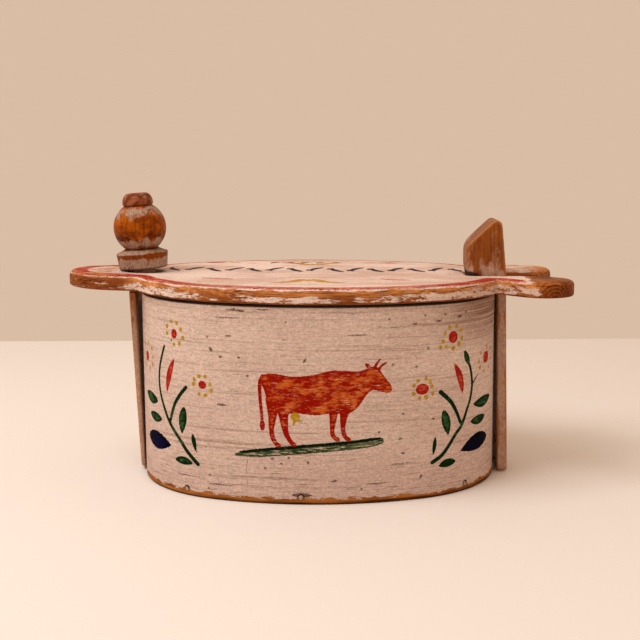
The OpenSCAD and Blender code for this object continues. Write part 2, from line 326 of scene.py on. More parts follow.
def arc(centre, r, start, stop, n):
    a = np.radians(np.linspace(start, stop, n))
    return [(centre[0] + r * math.cos(t), centre[1] + r * math.sin(t)) for t in a]


side_steps = np.linspace(PAINTED_HALF, HALF_ROUND - LAP_HALF - 1.0, BACK_COLUMNS)[1:]
lap_steps = np.array([-0.7, -0.2, 0.1, 0.6, 4.0, 10.0, 18.0]) + HALF_ROUND - LAP_HALF
back_steps = np.concatenate([side_steps, lap_steps])
front_steps = np.arange(-PAINTED_HALF, PAINTED_HALF + 0.01, FINE_STEP)
columns = np.concatenate([[-HALF_ROUND], -back_steps[::-1], front_steps, back_steps])

SHOULDER = BOX_H - RIM_ROUND
profile = arc((FOOT_ROUND, FOOT_ROUND), FOOT_ROUND, 270, 180, 5)
profile += [(0.0, z) for z in np.linspace(FOOT_ROUND, SHOULDER, OUTER_ROWS)[1:-1]]
profile += arc((RIM_ROUND, SHOULDER), RIM_ROUND, 180, 90, 4)
painted_rows = len(profile)
profile += arc((WALL - RIM_ROUND, SHOULDER), RIM_ROUND, 90, 0, 4)
profile += [(WALL, z) for z in np.linspace(SHOULDER, 0.0, INNER_ROWS)[1:]]
profile = np.array(profile)
print("profile points:", len(profile), "columns:", len(columns))

# %% Soft noise and smooth steps


def ripple(p, size, seed, waves=7):
    """Soft noise between -1 and 1 over points in millimetres, from a few crossed waves."""
    rng = np.random.default_rng(seed)
    total = np.zeros(len(p))
    for _ in range(waves):
        direction = rng.normal(size=3)
        direction *= 2 * math.pi / (size * np.linalg.norm(direction)) * rng.uniform(0.6, 1.6)
        total += np.sin(p @ direction + rng.uniform(0, 2 * math.pi))
    return total / waves * 1.6


def ease(x, low, high):
    """0 below low, 1 above high, and a smooth step between."""
    t = np.clip((x - low) / (high - low), 0, 1)
    return t * t * (3 - 2 * t)


# %% Shape the band
S, D = np.meshgrid(columns, profile[:, 0], indexing="ij")
Z = np.broadcast_to(profile[:, 1], S.shape)
spot, outward = oval_walk(S)
to_lap = HALF_ROUND - np.abs(S)
climb = np.where(S > 0, (to_lap < LAP_HALF).astype(float), 1 - ease(to_lap, LAP_HALF - LAP_CLIMB, LAP_HALF))
lift = LAP_T * climb * ease(D, WALL, WALL - 1.0)
band_xy = spot + outward * (lift - D)[..., None]
band_z = Z * rim_height(spot[..., 0]) / BOX_H
band_points = np.concatenate([band_xy, band_z[..., None]], -1).reshape(-1, 3)
hand_bent = ripple(band_points * (1, 1, 0.5), BEND_WAVE, 3) * BEND_DEPTH - SUNK
fade = (D < WALL - 0.01).reshape(-1) * ease(Z.reshape(-1), 0.0, 6.0)
band_points[:, :2] += outward.reshape(-1, 2) * (hand_bent * fade)[:, None]

n_col, n_row = S.shape
band_faces, band_uv = [], []
wrap_s = np.append(columns, HALF_ROUND) * MM
wrap_z = profile[:, 1] * MM
for j in range(n_col):
    k = (j + 1) % n_col
    for i in range(n_row):
        m = (i + 1) % n_row
        band_faces.append((j * n_row + i, k * n_row + i, k * n_row + m, j * n_row + m))
        left, right, low, high = wrap_s[j], wrap_s[j + 1], wrap_z[i], wrap_z[m]
        band_uv += [(left, low), (right, low), (right, high), (left, high)]
band = make_mesh("band_bent", band_points, band_faces)
inner_face = np.tile(np.arange(n_row) >= painted_rows, n_col)
band.data.polygons.foreach_set("material_index", inner_face.astype(np.int32))
wrap = band.data.uv_layers.new(name="wrap")
wrap.data.foreach_set("uv", np.array(band_uv, np.float32).ravel())
print("band grid:", n_col, "columns by", n_row, "rows")

# %% [markdown]
# ## Painted figures on the band
# Each figure is a set of brush strokes: a line with a width that swells and tapers. For every
# vertex the distance to the nearest stroke is stored, positive inside the paint. A distance blends
# evenly between vertices, so the painted edges stay sharp on a mesh of modest size, and the
# material can roughen them.

# %% Brush strokes as distances
FAR = -9.0


def curve_through(points, n=8, closed=False):
    """A smooth line through a few points."""
    p = np.array(points, float)
    ends = (p[-1:], p[:2]) if closed else (2 * p[:1] - p[1:2], 2 * p[-1:] - p[-2:-1])
    q = np.concatenate([ends[0], p, ends[1]])
    out = []
    for a, b, c, d in zip(q, q[1:], q[2:], q[3:]):
        for t in np.arange(n) / n:
            out.append(0.5 * (2 * b + (c - a) * t + (2 * a - 5 * b + 4 * c - d) * t * t
                              + (3 * b - a - 3 * c + d) * t ** 3))
    return np.array(out if closed else out + [p[-1]])


def to_segment(u, v, a, b):
    """How far along a straight piece the nearest point is, and how far away it is."""
    dx, dz = b[0] - a[0], b[1] - a[1]
    t = np.clip(((u - a[0]) * dx + (v - a[1]) * dz) / max(dx * dx + dz * dz, 1e-9), 0, 1)
    return t, np.hypot(u - a[0] - t * dx, v - a[1] - t * dz)


def stroke(u, v, line, half_widths):
    """Distance into a stroke along a line, in millimetres, positive inside it."""
    best = np.full(u.shape, FAR)
    for a, b, wa, wb in zip(line, line[1:], half_widths, half_widths[1:]):
        t, gap = to_segment(u, v, a, b)
        best = np.maximum(best, wa + (wb - wa) * t - gap)
    return best


def limb(u, v, points, steps, at, half_widths):
    """A stroke along a curve, with its half widths given at some of its steps."""
    line = curve_through(points, steps)
    return stroke(u, v, line, np.interp(np.arange(len(line)), at, half_widths))


def stem(u, v, points, start, stop):
    line = curve_through(points)
    return stroke(u, v, line, np.linspace(start, stop, len(line)))


def leaf(u, v, base, tip, half_width, bend=0.0, fullest=0.5):
    """A leaf or petal: one press of the brush from base to tip."""
    a, b = np.array(base, float), np.array(tip, float)
    t = np.linspace(0, 1, 9)
    side = np.array([-(b - a)[1], (b - a)[0]])
    line = a + np.outer(t, b - a) + np.outer(np.sin(math.pi * t) * bend, side)
    swell = np.sin(math.pi * t ** (math.log(0.5) / math.log(fullest))) ** 0.8
    return stroke(u, v, line, half_width * swell + 0.12)


def blot(u, v, centre, width, height, turn=0.0):
    """An oval dab of paint."""
    c, s = math.cos(turn), math.sin(turn)
    x, y = u - centre[0], v - centre[1]
    p, q = (c * x + s * y) / width, (c * y - s * x) / height
    return (1 - np.hypot(p, q)) * min(width, height)


def inside_line(u, v, line):
    """Distance to a closed outline, positive inside it."""
    best, crossings = np.full(u.shape, 99.0), np.zeros(u.shape, int)
    for a, b in zip(line, np.roll(line, -1, 0)):
        best = np.minimum(best, to_segment(u, v, a, b)[1])
        rise = b[1] - a[1]
        over = (a[1] > v) != (b[1] > v)
        crossings += over & (u < a[0] + (v - a[1]) * (b[0] - a[0]) / (rise if rise else 1e-9))
    return np.where(crossings % 2 == 1, best, -best)


def union(*fields):
    return np.maximum.reduce(fields)


def strokes(u, v, stems=(), leaves=(), blots=()):
    """Many strokes as one field; each row holds the values that its function takes."""
    rows = [(stem, row) for row in stems] + [(leaf, row) for row in leaves] + [(blot, row) for row in blots]
    return union(*[shape(u, v, *row) for shape, row in rows])


# %% Dotted flowers
U, V, DAB_SIZE = S, Z, (1.15, 1.6)
FLOWERS = [     # place, half width and half height of the red middle, and the yellow dabs round it
    ((-95.0, 102.9), 2.6, 3.1, [
        (-97.5, 110.4), (-92.3, 109.9), (-89.0, 106.1), (-87.2, 101.0), (-90.4, 97.3), (-95.3, 96.1),
        (-102.0, 102.6), (-101.8, 107.1)]),
    ((-131.7, 83.8), 3.2, 3.2, [
        (-129.1, 92.6), (-122.8, 89.7), (-121.2, 84.5), (-121.6, 79.8), (-126.7, 76.7), (-137.0, 77.5),
        (-141.0, 84.0), (-136.0, 91.0)]),
    ((-73.0, 72.7), 2.9, 2.5, [
        (-75.2, 78.0), (-70.8, 78.1), (-78.9, 75.7), (-79.6, 72.7), (-66.9, 69.5), (-70.9, 66.3), (-75.5, 66.5),
        (-67.5, 73.4)]),
    ((90.1, 101.8), 3.7, 3.8, [
        (87.2, 108.2), (92.8, 108.4), (96.8, 105.3), (97.5, 100.5), (95.0, 97.0), (90.2, 94.5), (84.9, 96.1),
        (80.3, 96.1), (82.0, 99.7), (83.7, 104.6)]),
    ((127.4, 84.1), 4.6, 3.9, [
        (129.0, 90.8), (137.2, 88.5), (118.8, 88.0), (116.6, 82.6), (118.1, 78.7), (124.1, 75.4), (133.0, 76.5),
        (138.5, 81.5)]),
    ((67.5, 70.6), 4.5, 3.5, [
        (69.9, 77.1), (72.8, 75.0), (74.1, 71.8), (74.7, 67.3), (70.1, 65.3), (65.6, 65.0), (61.6, 68.1),
        (61.8, 73.2), (64.6, 76.1)]),
]
flower_middles, flower_dabs = [], []
for seed, (centre, width, height, dots) in enumerate(FLOWERS, 1):
    rng = np.random.default_rng(seed)
    flower_middles.append(blot(U, V, centre, width, height, rng.uniform(-0.2, 0.2)))
    for dot in dots:
        size = rng.uniform(*DAB_SIZE), rng.uniform(*DAB_SIZE)
        flower_dabs.append(blot(U, V, dot, *size, rng.uniform(0, 3)))
print("flowers:", len(FLOWERS), "with", len(flower_dabs), "yellow dabs")

# %% Leafy sprays, buds and petals
left_spray = strokes(U, V, stems=[
    ([(-77.5, 21.4), (-85.7, 28.5), (-92.7, 36.1), (-100.6, 44.0), (-106.3, 52.3), (-110.9, 61.7),
      (-112.6, 70.6), (-111.3, 80.0), (-108.2, 87.8), (-105.4, 93.8)], 1.4, 1.0),
    ([(-101.3, 44.9), (-96.6, 56.6), (-91.7, 63.6), (-85.7, 69.8)], 1.2, 1.3),
], leaves=[
    ((-114.9, 56.8), (-134.6, 59.7), 3.7, 0.04), ((-110.0, 45.6), (-128.0, 46.8), 3.1, 0.03),
    ((-90.1, 39.2), (-87.6, 57.2), 3.3, 0.02, 0.55), ((-78.4, 28.4), (-81.3, 40.9), 1.6, 0.02, 0.6),
    ((-81.5, 21.3), (-97.0, 21.7), 2.5, -0.05)])
right_spray = strokes(U, V, stems=[
    ([(74.7, 22.8), (82.0, 26.8), (87.5, 32.4), (93.4, 39.2), (98.4, 43.9), (102.4, 51.5), (106.6, 59.9),
      (108.4, 68.8), (107.0, 78.1), (103.9, 84.9), (101.0, 90.7)], 1.35, 1.05),
    ([(109.0, 69.6), (112.8, 72.6), (115.9, 74.7)], 0.6, 0.35),
    ([(97.1, 46.0), (93.2, 53.8), (88.3, 60.8), (80.5, 67.6)], 1.2, 1.5),
], leaves=[
    ((105.2, 82.0), (100.2, 92.2), 2.2), ((109.8, 55.7), (137.1, 57.0), 3.5, -0.04),
    ((106.9, 44.7), (126.9, 45.5), 3.0, -0.04), ((86.9, 38.8), (82.8, 55.8), 3.3, -0.02, 0.55),
    ((75.2, 27.3), (76.8, 39.2), 1.35, -0.02, 0.55), ((79.5, 19.8), (93.4, 21.0), 2.6, 0.05)])
left_bud = leaf(U, V, (-100.5, 30.2), (-132.5, 31.2), 5.8, 0.0, 0.55)
right_bud = leaf(U, V, (97.4, 27.0), (131.0, 30.6), 5.6, 0.04, 0.55)
petals = strokes(U, V, leaves=[((-103.6, 64.2), (-95.2, 87.2), 2.4, 0.06),
                               ((98.9, 64.3), (91.1, 84.9), 2.5, -0.07)])
print("painted vertices in the sprays:", int((union(left_spray, right_spray) > 0).sum()))

# %% [markdown]
# The middle of the front shows a farm cow on a strip of grass. It is drawn here afresh, as a plain
# folk figure: one closed outline for the body and head, and tapering strokes for the legs, horns
# and tail.

# %% A farm cow on a strip of grass
grass_line = np.array([(-51.0, 30.3), (-28.6, 33.0), (-9.9, 35.0), (8.6, 36.6), (27.1, 38.1), (40.2, 39.5)])
turf_line = grass_line + (0.0, 1.9)
turf_line[0] += (3.0, 0.0)
grass = limb(U, V, grass_line, 6, [0, 3, 10, 22, 27, 30], [0.8, 2.5, 2.9, 2.9, 2.8, 2.0])
turf = limb(U, V, turf_line, 6, [0, 3, 15, 27, 30], [0.6, 1.0, 1.1, 1.0, 0.5])
cow_body = inside_line(U, V, curve_through([
    (-34.0, 79.0), (-30.6, 82.0), (-24.0, 82.2), (-14.0, 80.8), (-2.0, 81.8), (9.0, 84.4), (18.0, 84.4),
    (26.0, 83.8), (31.6, 85.4), (35.6, 86.6), (39.2, 85.0), (42.6, 80.0), (46.4, 75.0), (47.4, 71.4),
    (45.2, 69.8), (39.6, 70.8), (35.2, 72.0), (31.0, 68.6), (27.6, 63.6), (23.6, 59.4), (18.2, 57.4),
    (10.0, 58.0), (1.0, 56.8), (-7.0, 57.4), (-13.0, 58.0), (-19.4, 57.0), (-25.0, 58.0), (-28.6, 62.0),
    (-31.2, 69.6)], 5, True))
LEGS = [        # the line from hip to hoof, and the half widths along it
    ([(-26.8, 66.0), (-26.8, 56.0), (-27.6, 47.4), (-26.4, 41.2), (-23.8, 37.6)], [4.4, 2.7, 1.6, 1.5, 1.2]),
    ([(-20.4, 64.0), (-19.8, 54.6), (-18.8, 46.8), (-16.8, 41.8), (-14.2, 38.4)], [4.4, 2.8, 1.8, 1.5, 1.2]),
    ([(11.0, 62.0), (10.6, 54.6), (10.0, 48.2), (10.4, 44.2), (12.6, 41.6)], [3.4, 2.2, 1.4, 1.4, 1.1]),
    ([(18.0, 62.0), (17.0, 54.6), (16.6, 48.8), (17.4, 44.2), (19.4, 41.6)], [3.6, 2.2, 1.4, 1.4, 1.1]),
]
hooves = [((x - 2.4, z + 1.5), (x + 2.0, z - 0.9), 1.35, 0.0, 0.55) for x, z in (line[-1] for line, _ in LEGS)]
tail = [(-32.6, 80.6), (-34.6, 76.0), (-34.4, 66.0), (-33.6, 57.0), (-33.2, 50.0)]
tuft = ((-33.5, 57.0), (-33.2, 46.4), 1.6, 0.0, 0.7)
horns = [[(36.6, 86.0), (37.8, 88.4), (39.8, 91.0)], [(38.8, 84.8), (40.8, 86.8), (43.6, 88.6)]]
ear = ((34.0, 85.6), (30.4, 88.6), 1.1)
cow = union(
    cow_body, *[limb(U, V, line, 4, [0, 4, 8, 12, 16], widths) for line, widths in LEGS],
    strokes(U, V, stems=[(tail, 1.3, 0.9)] + [(horn, 0.95, 0.6) for horn in horns],
            leaves=[tuft, ear] + hooves))
udder = strokes(U, V, blots=[((-12.6, 55.8), 2.9, 2.6)], stems=[
    ([(-13.2, 53.4), (-13.8, 50.2)], 1.0, 0.5), ([(-12.0, 53.8), (-9.0, 53.2)], 1.0, 0.5)])
udder = np.minimum(udder, 0.6 - cow_body)
print("painted vertices in the cow:", int((cow > 0).sum()))

# %% [markdown]
# Years of use have left dark scuffs, specks, thin scratches and two hairline cracks on the front,
# and a dark ring of dirt round each peg. They are kept as distances too.

# %% Scuffs, cracks and dirt on the band
PEG_S, PEG_Z = [-86.6, -9.6, 102.3], 4.5
peg_ring = union(*[-np.hypot(U - s, V - PEG_Z) for s in PEG_S])
DASHES = [      # start, height and length of short dark scuffs
    (-52.8, 121.0, 3.4), (-47.0, 120.0, 3.3), (-61.4, 91.1, 2.6), (-49.2, 91.4, 2.4), (-63.5, 61.2, 6.6),
    (53.6, 55.8, 2.0), (73.8, 51.0, 2.2), (51.2, 40.1, 2.8), (53.0, 30.7, 3.0), (-28.6, 28.8, 2.6),
    (8.6, 15.0, 4.6), (-33.0, 22.6, 2.0), (60.0, 112.0, 4.0), (76.0, 112.8, 5.0)]
SCRATCHES = [   # the same for long thin scratches
    (-64.0, 115.6, 17.0), (-56.0, 120.6, 14.0), (-36.0, 121.4, 9.0), (-62.5, 60.8, 9.0), (20.0, 106.0, 12.0),
    (46.0, 24.0, 15.0), (-96.0, 13.0, 20.0), (-70.0, 10.0, 18.0), (30.0, 12.4, 16.0)]
SPECKS = [
    (-68.6, 103.2), (-42.5, 80.3), (69.1, 116.9), (83.6, 116.8), (71.4, 96.3), (48.2, 87.1), (63.5, 85.1),
    (39.1, 45.2), (-21.8, 25.9), (-17.0, 29.8), (66.9, 15.4), (66.3, 13.8), (-69.0, 15.6), (28.0, 9.6),
    (-5.0, 27.0)]
scuffs = union(
    strokes(U, V, blots=[(at, 0.85, 0.75) for at in SPECKS],
            leaves=[((s, z), (s + run, z + 0.2), 0.6, 0.0, 0.6) for s, z, run in DASHES]
            + [((s, z), (s + run, z + 0.3), 0.32, 0.0, 0.4) for s, z, run in SCRATCHES]
            + [((-7.3, 89.6), (-5.6, 91.9), 0.7)]),
    strokes(U, V, blots=[((-66.4, 95.6), 1.5, 2.2, 0.5), ((95.6, 114.6), 2.4, 1.4)]) - 0.4,
    leaf(U, V, (-16.0, 6.2), (-2.0, 6.0), 1.5) - 0.2)
hairline = strokes(U, V, stems=[([(-43.4, 27.4), (-43.8, 20.0), (-43.2, 12.4)], 0.3, 0.15),
                                ([(38.0, 111.6), (44.0, 110.0), (52.0, 110.6)], 0.3, 0.1)])
band_fields = {
    "leaf_green": union(left_spray, right_spray), "grass_green": grass, "turf_green": turf,
    "bud_blue": left_bud, "bud_dark": right_bud, "cow_red": cow, "petal_red": union(petals, *flower_middles),
    "dab_yellow": union(udder, *flower_dabs), "peg_ring": peg_ring, "hairline": hairline, "scuffs": scuffs,
}
for label, field in band_fields.items():
    store(band, label, np.where(np.arange(n_row) < painted_rows, field, FAR))
print("painted fields:", sorted(band_fields))

# %% [markdown]
# ## The band's paint
# The outside is off-white milk paint gone pinkish, with the grain of the thin wood showing through
# as level streaks, mottled by handling, darkened by painted shade at its right shoulder and worn to
# bare wood along the foot. Painted shade also lies as a dark line under the lid's edge and along the
# foot. The figures are laid over the white with the brush group. The inside of the box was never
# painted.

# %% Helpers for materials


def new_material(name, specular):
    """A material whose tree is the next one to be built."""
    global tree
    material = bpy.data.materials.new(name)
    material.use_nodes = True
    tree = material.node_tree
    tree.nodes["Principled BSDF"].inputs["Specular IOR Level"].default_value = specular
    return material


def use_group(group, **inputs):
    return add_node("ShaderNodeGroup", spaced(inputs), node_tree=group).outputs


def set_finish(colour, roughness, height, distance=0.0004, strength=0.6):
    """Wires colour, roughness and a bump height into the shader."""
    bump = add_node("ShaderNodeBump", {"Height": height, "Distance": distance, "Strength": strength})
    put(tree.nodes["Principled BSDF"], Base_Color=colour, Roughness=roughness, Normal=bump.outputs[0])


def stored(name):
    return add_node("ShaderNodeAttribute", attribute_name=name).outputs["Fac"]


def unrolled():
    return add_node("ShaderNodeUVMap", uv_map="wrap").outputs[0]


def darkened(colour, value):
    """A colour multiplied by one value."""
    grey = add_node("ShaderNodeCombineColor", {0: value, 1: value, 2: value}).outputs[0]
    return blend(1.0, colour, grey, "MULTIPLY")


# %% White ground of the band
WHITE, WHITE_LOW, STREAK = rgb(213, 191, 178), rgb(199, 173, 162), rgb(146, 116, 98)
painted_band = new_material("painted_band", 0.02)
flat_map = unrolled()
along, up, _ = split(flat_map)
marks = use_group(grime, Position=flat_map, Cells=110.0, Share=0.34, Size=0.085)
dashes = use_group(grime, Position=stretch(flat_map, (0.3, 1, 1)), Cells=120.0, Share=0.4, Size=0.10)
cloudy = streaks(flat_map, (14, 26, 1))
white = blend(add(ramp(up, 0.07, 0.0, 0.0, 0.7), ramp(cloudy, 0.62, 0.38, 0.0, 0.55)), WHITE, WHITE_LOW)
grain = streaks(flat_map, (9, 520, 1), 4.0, 0.6)
white = blend(times(ramp(grain, 0.47, 0.33), 0.54), white, STREAK)
hatch = calc("SUBTRACT", streaks(flat_map, (70, 1500, 1), 3.0, 0.65), ramp(up, 0.045, 0.008, 0.0, 0.05))
white = blend(ramp(hatch, 0.42, 0.28, 0.0, 0.6), white, rgb(118, 88, 70))
white = darkened(white, times(add(marks["Mottle"], dashes["Mottle"]), 0.37, 0.64))
# Painted shade darkens the band's upper right shoulder, under the lid's edge and away from the lamp.
right_shoulder_shade = times(ramp(along, 0.055, 0.120), ramp(along, 0.190, 0.140))
right_shoulder_shade = times(times(right_shoulder_shade, ramp(up, 0.086, 0.120)), ramp(grain, 0.7, 0.36, 0.35, 1.0))
white = blend(right_shoulder_shade, white, rgb(122, 78, 50))
print("nodes in the white ground:", len(tree.nodes))

# %% Figures on the band


def lay_paints(paint, place, layers, low, high):
    """Brushes figures over a paint, one by one. Returns the new paint and the figures' masks."""
    masks = []
    for label, ragged, dry, deep, thin, *shift in layers:
        laid = use_group(brush_paint, Distance=stored(label), Position=place, Ragged=ragged, Dry=dry)
        tone = add(laid["Tone"], *shift) if shift else laid["Tone"]
        paint = blend(laid["Mask"], paint, blend(ramp(tone, low, high), deep, thin))
        masks.append(laid["Mask"])
    return paint, masks


redder_rump = ramp(along, -0.025, 0.030, -0.05, 0.01)
paint, masks = lay_paints(white, flat_map, [
    ("grass_green", 0.45, 0.5, rgb(40, 62, 30), rgb(104, 112, 74)),
    ("turf_green", 0.4, 0.2, rgb(10, 26, 12), rgb(36, 60, 30)),
    ("leaf_green", 0.2, 0.12, rgb(8, 36, 12), rgb(54, 88, 46)),
    ("bud_blue", 0.2, 0.02, rgb(2, 0, 22), rgb(8, 4, 46)),
    ("bud_dark", 0.2, 0.02, rgb(2, 1, 12), rgb(6, 4, 30)),
    ("cow_red", 0.3, 0.31, rgb(146, 18, 2), rgb(198, 98, 40), redder_rump),
    ("petal_red", 0.25, 0.14, rgb(158, 30, 18), rgb(190, 80, 56)),
    ("dab_yellow", 0.35, 0.14, rgb(172, 136, 30), rgb(204, 172, 84))], 0.44, 0.66)
print("nodes with the figures:", len(tree.nodes))

# %% Wear of the band
ring = times(ramp(stored("peg_ring"), -2.7, -2.1), ramp(clouds(flat_map, 500.0), 0.32, 0.42))
paint = blend(times(ring, 0.95), paint, rgb(26, 12, 8))
paint = blend(ramp(stored("hairline"), -0.25, 0.1, 0.0, 0.7), paint, rgb(96, 62, 46))
scuffed = use_group(brush_paint, Distance=stored("scuffs"), Position=flat_map, Ragged=0.5, Dry=0.3)
paint = blend(times(scuffed["Mask"], 0.8), paint, rgb(56, 26, 16))
paint = blend(times(marks["Specks"], 0.8), paint, rgb(66, 40, 30))
high_up = ramp(up, 0.070, 0.110, 0.25, 1.0)
paint = blend(times(dashes["Specks"], times(high_up, 0.75)), paint, rgb(70, 42, 30))
worn = largest(ramp(up, 0.0068, 0.0010), ramp(up, 0.1205, 0.1248, 0.0, 0.3))
rubbed = use_group(flaking_paint, Position=stretch(flat_map, (130, 380, 1)), Bare=worn, Softness=0.12)
bare_strip = use_group(ringed_wood, Position=flat_map, Pith=(0, -0.03, 0), Ring_width=0.005,
                       Pale=rgb(176, 110, 50), Dark=rgb(84, 38, 10))
colour = blend(rubbed["Cover"], bare_strip["Colour"], paint)
# Painted shade: a dark line along the top, under the lid's edge, and a painted contact shadow along the foot.
shade_under_lid_and_foot = largest(ramp(up, 0.0022, 0.0002, 0.0, 0.75), ramp(up, 0.1224, 0.1234, 0.0, 0.97))
colour = blend(shade_under_lid_and_foot, colour, rgb(22, 10, 6))
height = times(grain, 0.5, times(dashes["Mottle"], 0.35))
height = times(rubbed["Cover"], 0.5, times(largest(*masks), 0.25, height))
set_finish(colour, ramp(grain, 0.3, 0.7, 0.72, 0.56), height, 0.0003, 0.5)
print("nodes in the painted band:", len(tree.nodes))

# %% Bare inside of the band
SOIL, DULL = (0.5, rgb(70, 44, 28)), 0.75


def plain_wood(name, place_of, pith, ring_width, pale, dark, cells, share, soil=SOIL, dull=DULL):
    """Planed wood that was never painted, with a few specks of soil."""
    material = new_material(name, 0.3)
    place = place_of()
    wood = use_group(ringed_wood, Position=place, Pith=pith, Ring_width=ring_width,
                     Pale=rgb(*pale), Dark=rgb(*dark))
    marks = use_group(grime, Position=place, Cells=cells, Share=share, Size=0.05)
    colour = blend(times(marks["Specks"], soil[0]), wood["Colour"], soil[1])
    set_finish(colour, ramp(marks["Mottle"], 0.3, 0.7, 0.6, dull), wood["Height"])
    return material


def finish_piece(piece, node, body, slot, *materials):
    """Gives a piece its materials and puts it in the place of a CAD node."""
    for material in materials:
        piece.data.materials.append(material)
    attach(piece, body)
    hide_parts(node)
    print(piece.name, "faces:", len(piece.data.polygons), "stands for", node)


bare_inside = plain_wood("bare_inside", unrolled, (0, -0.05, 0), 0.006,
                         (196, 150, 104), (140, 94, 58), 50.0, 0.2)
finish_piece(band, "bentwood_band", "box", "painted_band", painted_band, bare_inside)

# %% [markdown]
# ## The lid board
# The lid is one flat board with a tongue under the knob and a fork round the catch post. Its outline
# is read from the frame, so the dressed board fits it exactly. The outline is resampled evenly,
# stacked into rings that round the worn edges, and the faces are filled with an even net of
# triangles, so that the painting on top has vertices to live on.

# %% Outlines from the frame


def merged(node):
    """A CAD node's loose triangles, joined where they meet."""
    bm = bmesh.new()
    bm.from_mesh(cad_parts[node].data)
    bmesh.ops.remove_doubles(bm, verts=bm.verts, dist=1e-6)
    return bm


def face_loops(node):
    """Closed outlines of a CAD node's upper face, in millimetres, with the wood on their left."""
    bm = merged(node)
    flat = [f for f in bm.faces if f.normal.z > 0.99]
    upper, follows = set(flat), {}
    for face in flat:
        for loop in face.loops:
            if not all(f in upper for f in loop.edge.link_faces):
                follows[loop.vert] = loop.link_loop_next.vert
    loops = []
    while follows:
        start, vert = next(iter(follows.items()))
        line = [start]
        del follows[start]
        while vert is not start:
            line.append(vert)
            vert = follows.pop(vert)
        loops.append(np.array([v.co / MM for v in line]))
    bm.free()
    return loops


def even_loop(line, step, sharp=math.radians(28)):
    """The same outline with even steps, keeping its sharp corners."""
    ahead = np.roll(line, -1, 0) - line
    way = np.arctan2(ahead[:, 1], ahead[:, 0])
    turn = np.abs((way - np.roll(way, 1) + math.pi) % (2 * math.pi) - math.pi)
    corners = np.flatnonzero(turn > sharp)
    corners = corners if len(corners) else np.array([0])
    out = []
    for a, b in zip(corners, np.append(corners[1:], corners[0] + len(line))):
        part = line[np.arange(a, b + 1) % len(line)]
        run = np.concatenate([[0], np.cumsum(np.linalg.norm(np.diff(part, axis=0), axis=1))])
        at = np.linspace(0, run[-1], max(2, round(run[-1] / step)) + 1)[:-1]
        out.append(np.stack([np.interp(at, run, part[:, k]) for k in (0, 1)], -1))
    return np.concatenate(out)


def inward(line):
    """The direction into the wood at each point of an outline, longer at its corners."""
    def left(d):
        d = d / np.linalg.norm(d, axis=1)[:, None]
        return np.stack([-d[:, 1], d[:, 0]], -1)
    before, after = left(line - np.roll(line, 1, 0)), left(np.roll(line, -1, 0) - line)
    mitre = (before + after) / (1 + (before * after).sum(1))[:, None]
    return mitre / np.maximum(1, np.linalg.norm(mitre, axis=1) / 1.3)[:, None]


# %% Boards from outlines
ROW_STEP, CLEAR, FOOT_NET = 0.87, 0.55, 6


def fill(loops, first, step):
    """Even triangles inside outlines. Returns new inner points and faces over all the points."""
    outline = np.concatenate(loops)
    low, high = outline.min(0), outline.max(0)
    grid = []
    for i, y in enumerate(np.arange(low[1], high[1], step * ROW_STEP)):
        grid += [(x, y) for x in np.arange(low[0] + (i % 2) * step / 2, high[0], step)]
    grid = np.array(grid)
    fields = np.array([inside_line(*grid.T, line) for line in loops])
    grid = grid[((fields > 0).sum(0) % 2 == 1) & (np.abs(fields).min(0) > step * CLEAR)]
    edges, start = [], 0
    for line in loops:
        n = len(line)
        edges += [(start + i, start + (i + 1) % n) for i in range(n)]
        start += n
    every = [Vector(p) for p in np.concatenate([outline, grid])]
    _, _, faces, origin, _, _ = delaunay_2d_cdt(every, edges, [], 0, 1e-6, True)
    faces = [[origin[i][0] for i in f] for f in faces]
    # Walk inwards from the border, so that only faces inside the wood are kept
    beside = {(f[k - 1], f[k]): n for n, f in enumerate(faces) for k in range(3)}
    border, todo = set(edges), [beside[edge] for edge in edges]
    kept = set(todo)
    while todo:
        f = faces[todo.pop()]
        for pair in ((f[k], f[k - 1]) for k in range(3) if (f[k - 1], f[k]) not in border):
            if beside[pair] not in kept:
                kept.add(beside[pair])
                todo.append(beside[pair])
    number = np.concatenate([np.concatenate(first), -1 - np.arange(len(grid))])
    return grid, number[np.array([faces[n] for n in sorted(kept)])]


def board(name, loops, thick, top_round, foot_round, net, plan_wear=0.0):
    """A closed board of even thickness with rounded edges."""
    points, faces, count = [], [], 0
    tops, top_ids, feet, foot_ids = [], [], [], []
    for line in loops:
        n, into = len(line), inward(line)
        worn = 1 + plan_wear * ripple(np.concatenate([line, np.zeros((n, 1))], 1), 30.0, 11)
        rings = [(foot_round * (1 + math.cos(a)), foot_round * (1 + math.sin(a)), 1.0)
                 for a in np.radians(np.linspace(270, 180, 4))]
        rings += [(0.0, z, 1.0) for z in np.linspace(foot_round, thick - top_round, 5)[1:-1]]
        rings += [(top_round * (1 + math.cos(a)), thick - top_round * (1 - math.sin(a)), worn)
                  for a in np.radians(np.linspace(180, 90, 7))]
        for k, (inset, z, wear) in enumerate(rings):
            plan = line + into * np.broadcast_to(inset * wear, n)[:, None]
            height = thick - (thick - z) * np.broadcast_to(wear if z > thick / 2 else 1.0, n)
            points.append(np.concatenate([plan, height[:, None]], 1))
            if k:
                a, b = count + (k - 1) * n, count + k * n
                faces += [(a + i, a + (i + 1) % n, b + (i + 1) % n, b + i) for i in range(n)]
        feet.append(points[-len(rings)][:, :2])
        foot_ids.append(count + np.arange(n))
        tops.append(points[-1][:, :2])
        top_ids.append(count + (len(rings) - 1) * n + np.arange(n))
        count += n * len(rings)
    sides = (tops, top_ids, thick, net, 1), (feet, foot_ids, 0.0, FOOT_NET * net, -1)
    for plans, ids, height, step, way in sides:
        grid, made = fill(plans, ids, step)
        made = np.where(made < 0, count - 1 - made, made)
        faces += made[:, ::way].tolist()
        points.append(np.concatenate([grid, np.full((len(grid), 1), height)], 1))
        count += len(grid)
    return make_mesh(name, np.concatenate(points), faces)


# %% Shape the lid


def points_of(piece):
    """The vertices of a piece in millimetres."""
    co = np.zeros(len(piece.data.vertices) * 3)
    piece.data.vertices.foreach_get("co", co)
    return co.reshape(-1, 3) / MM


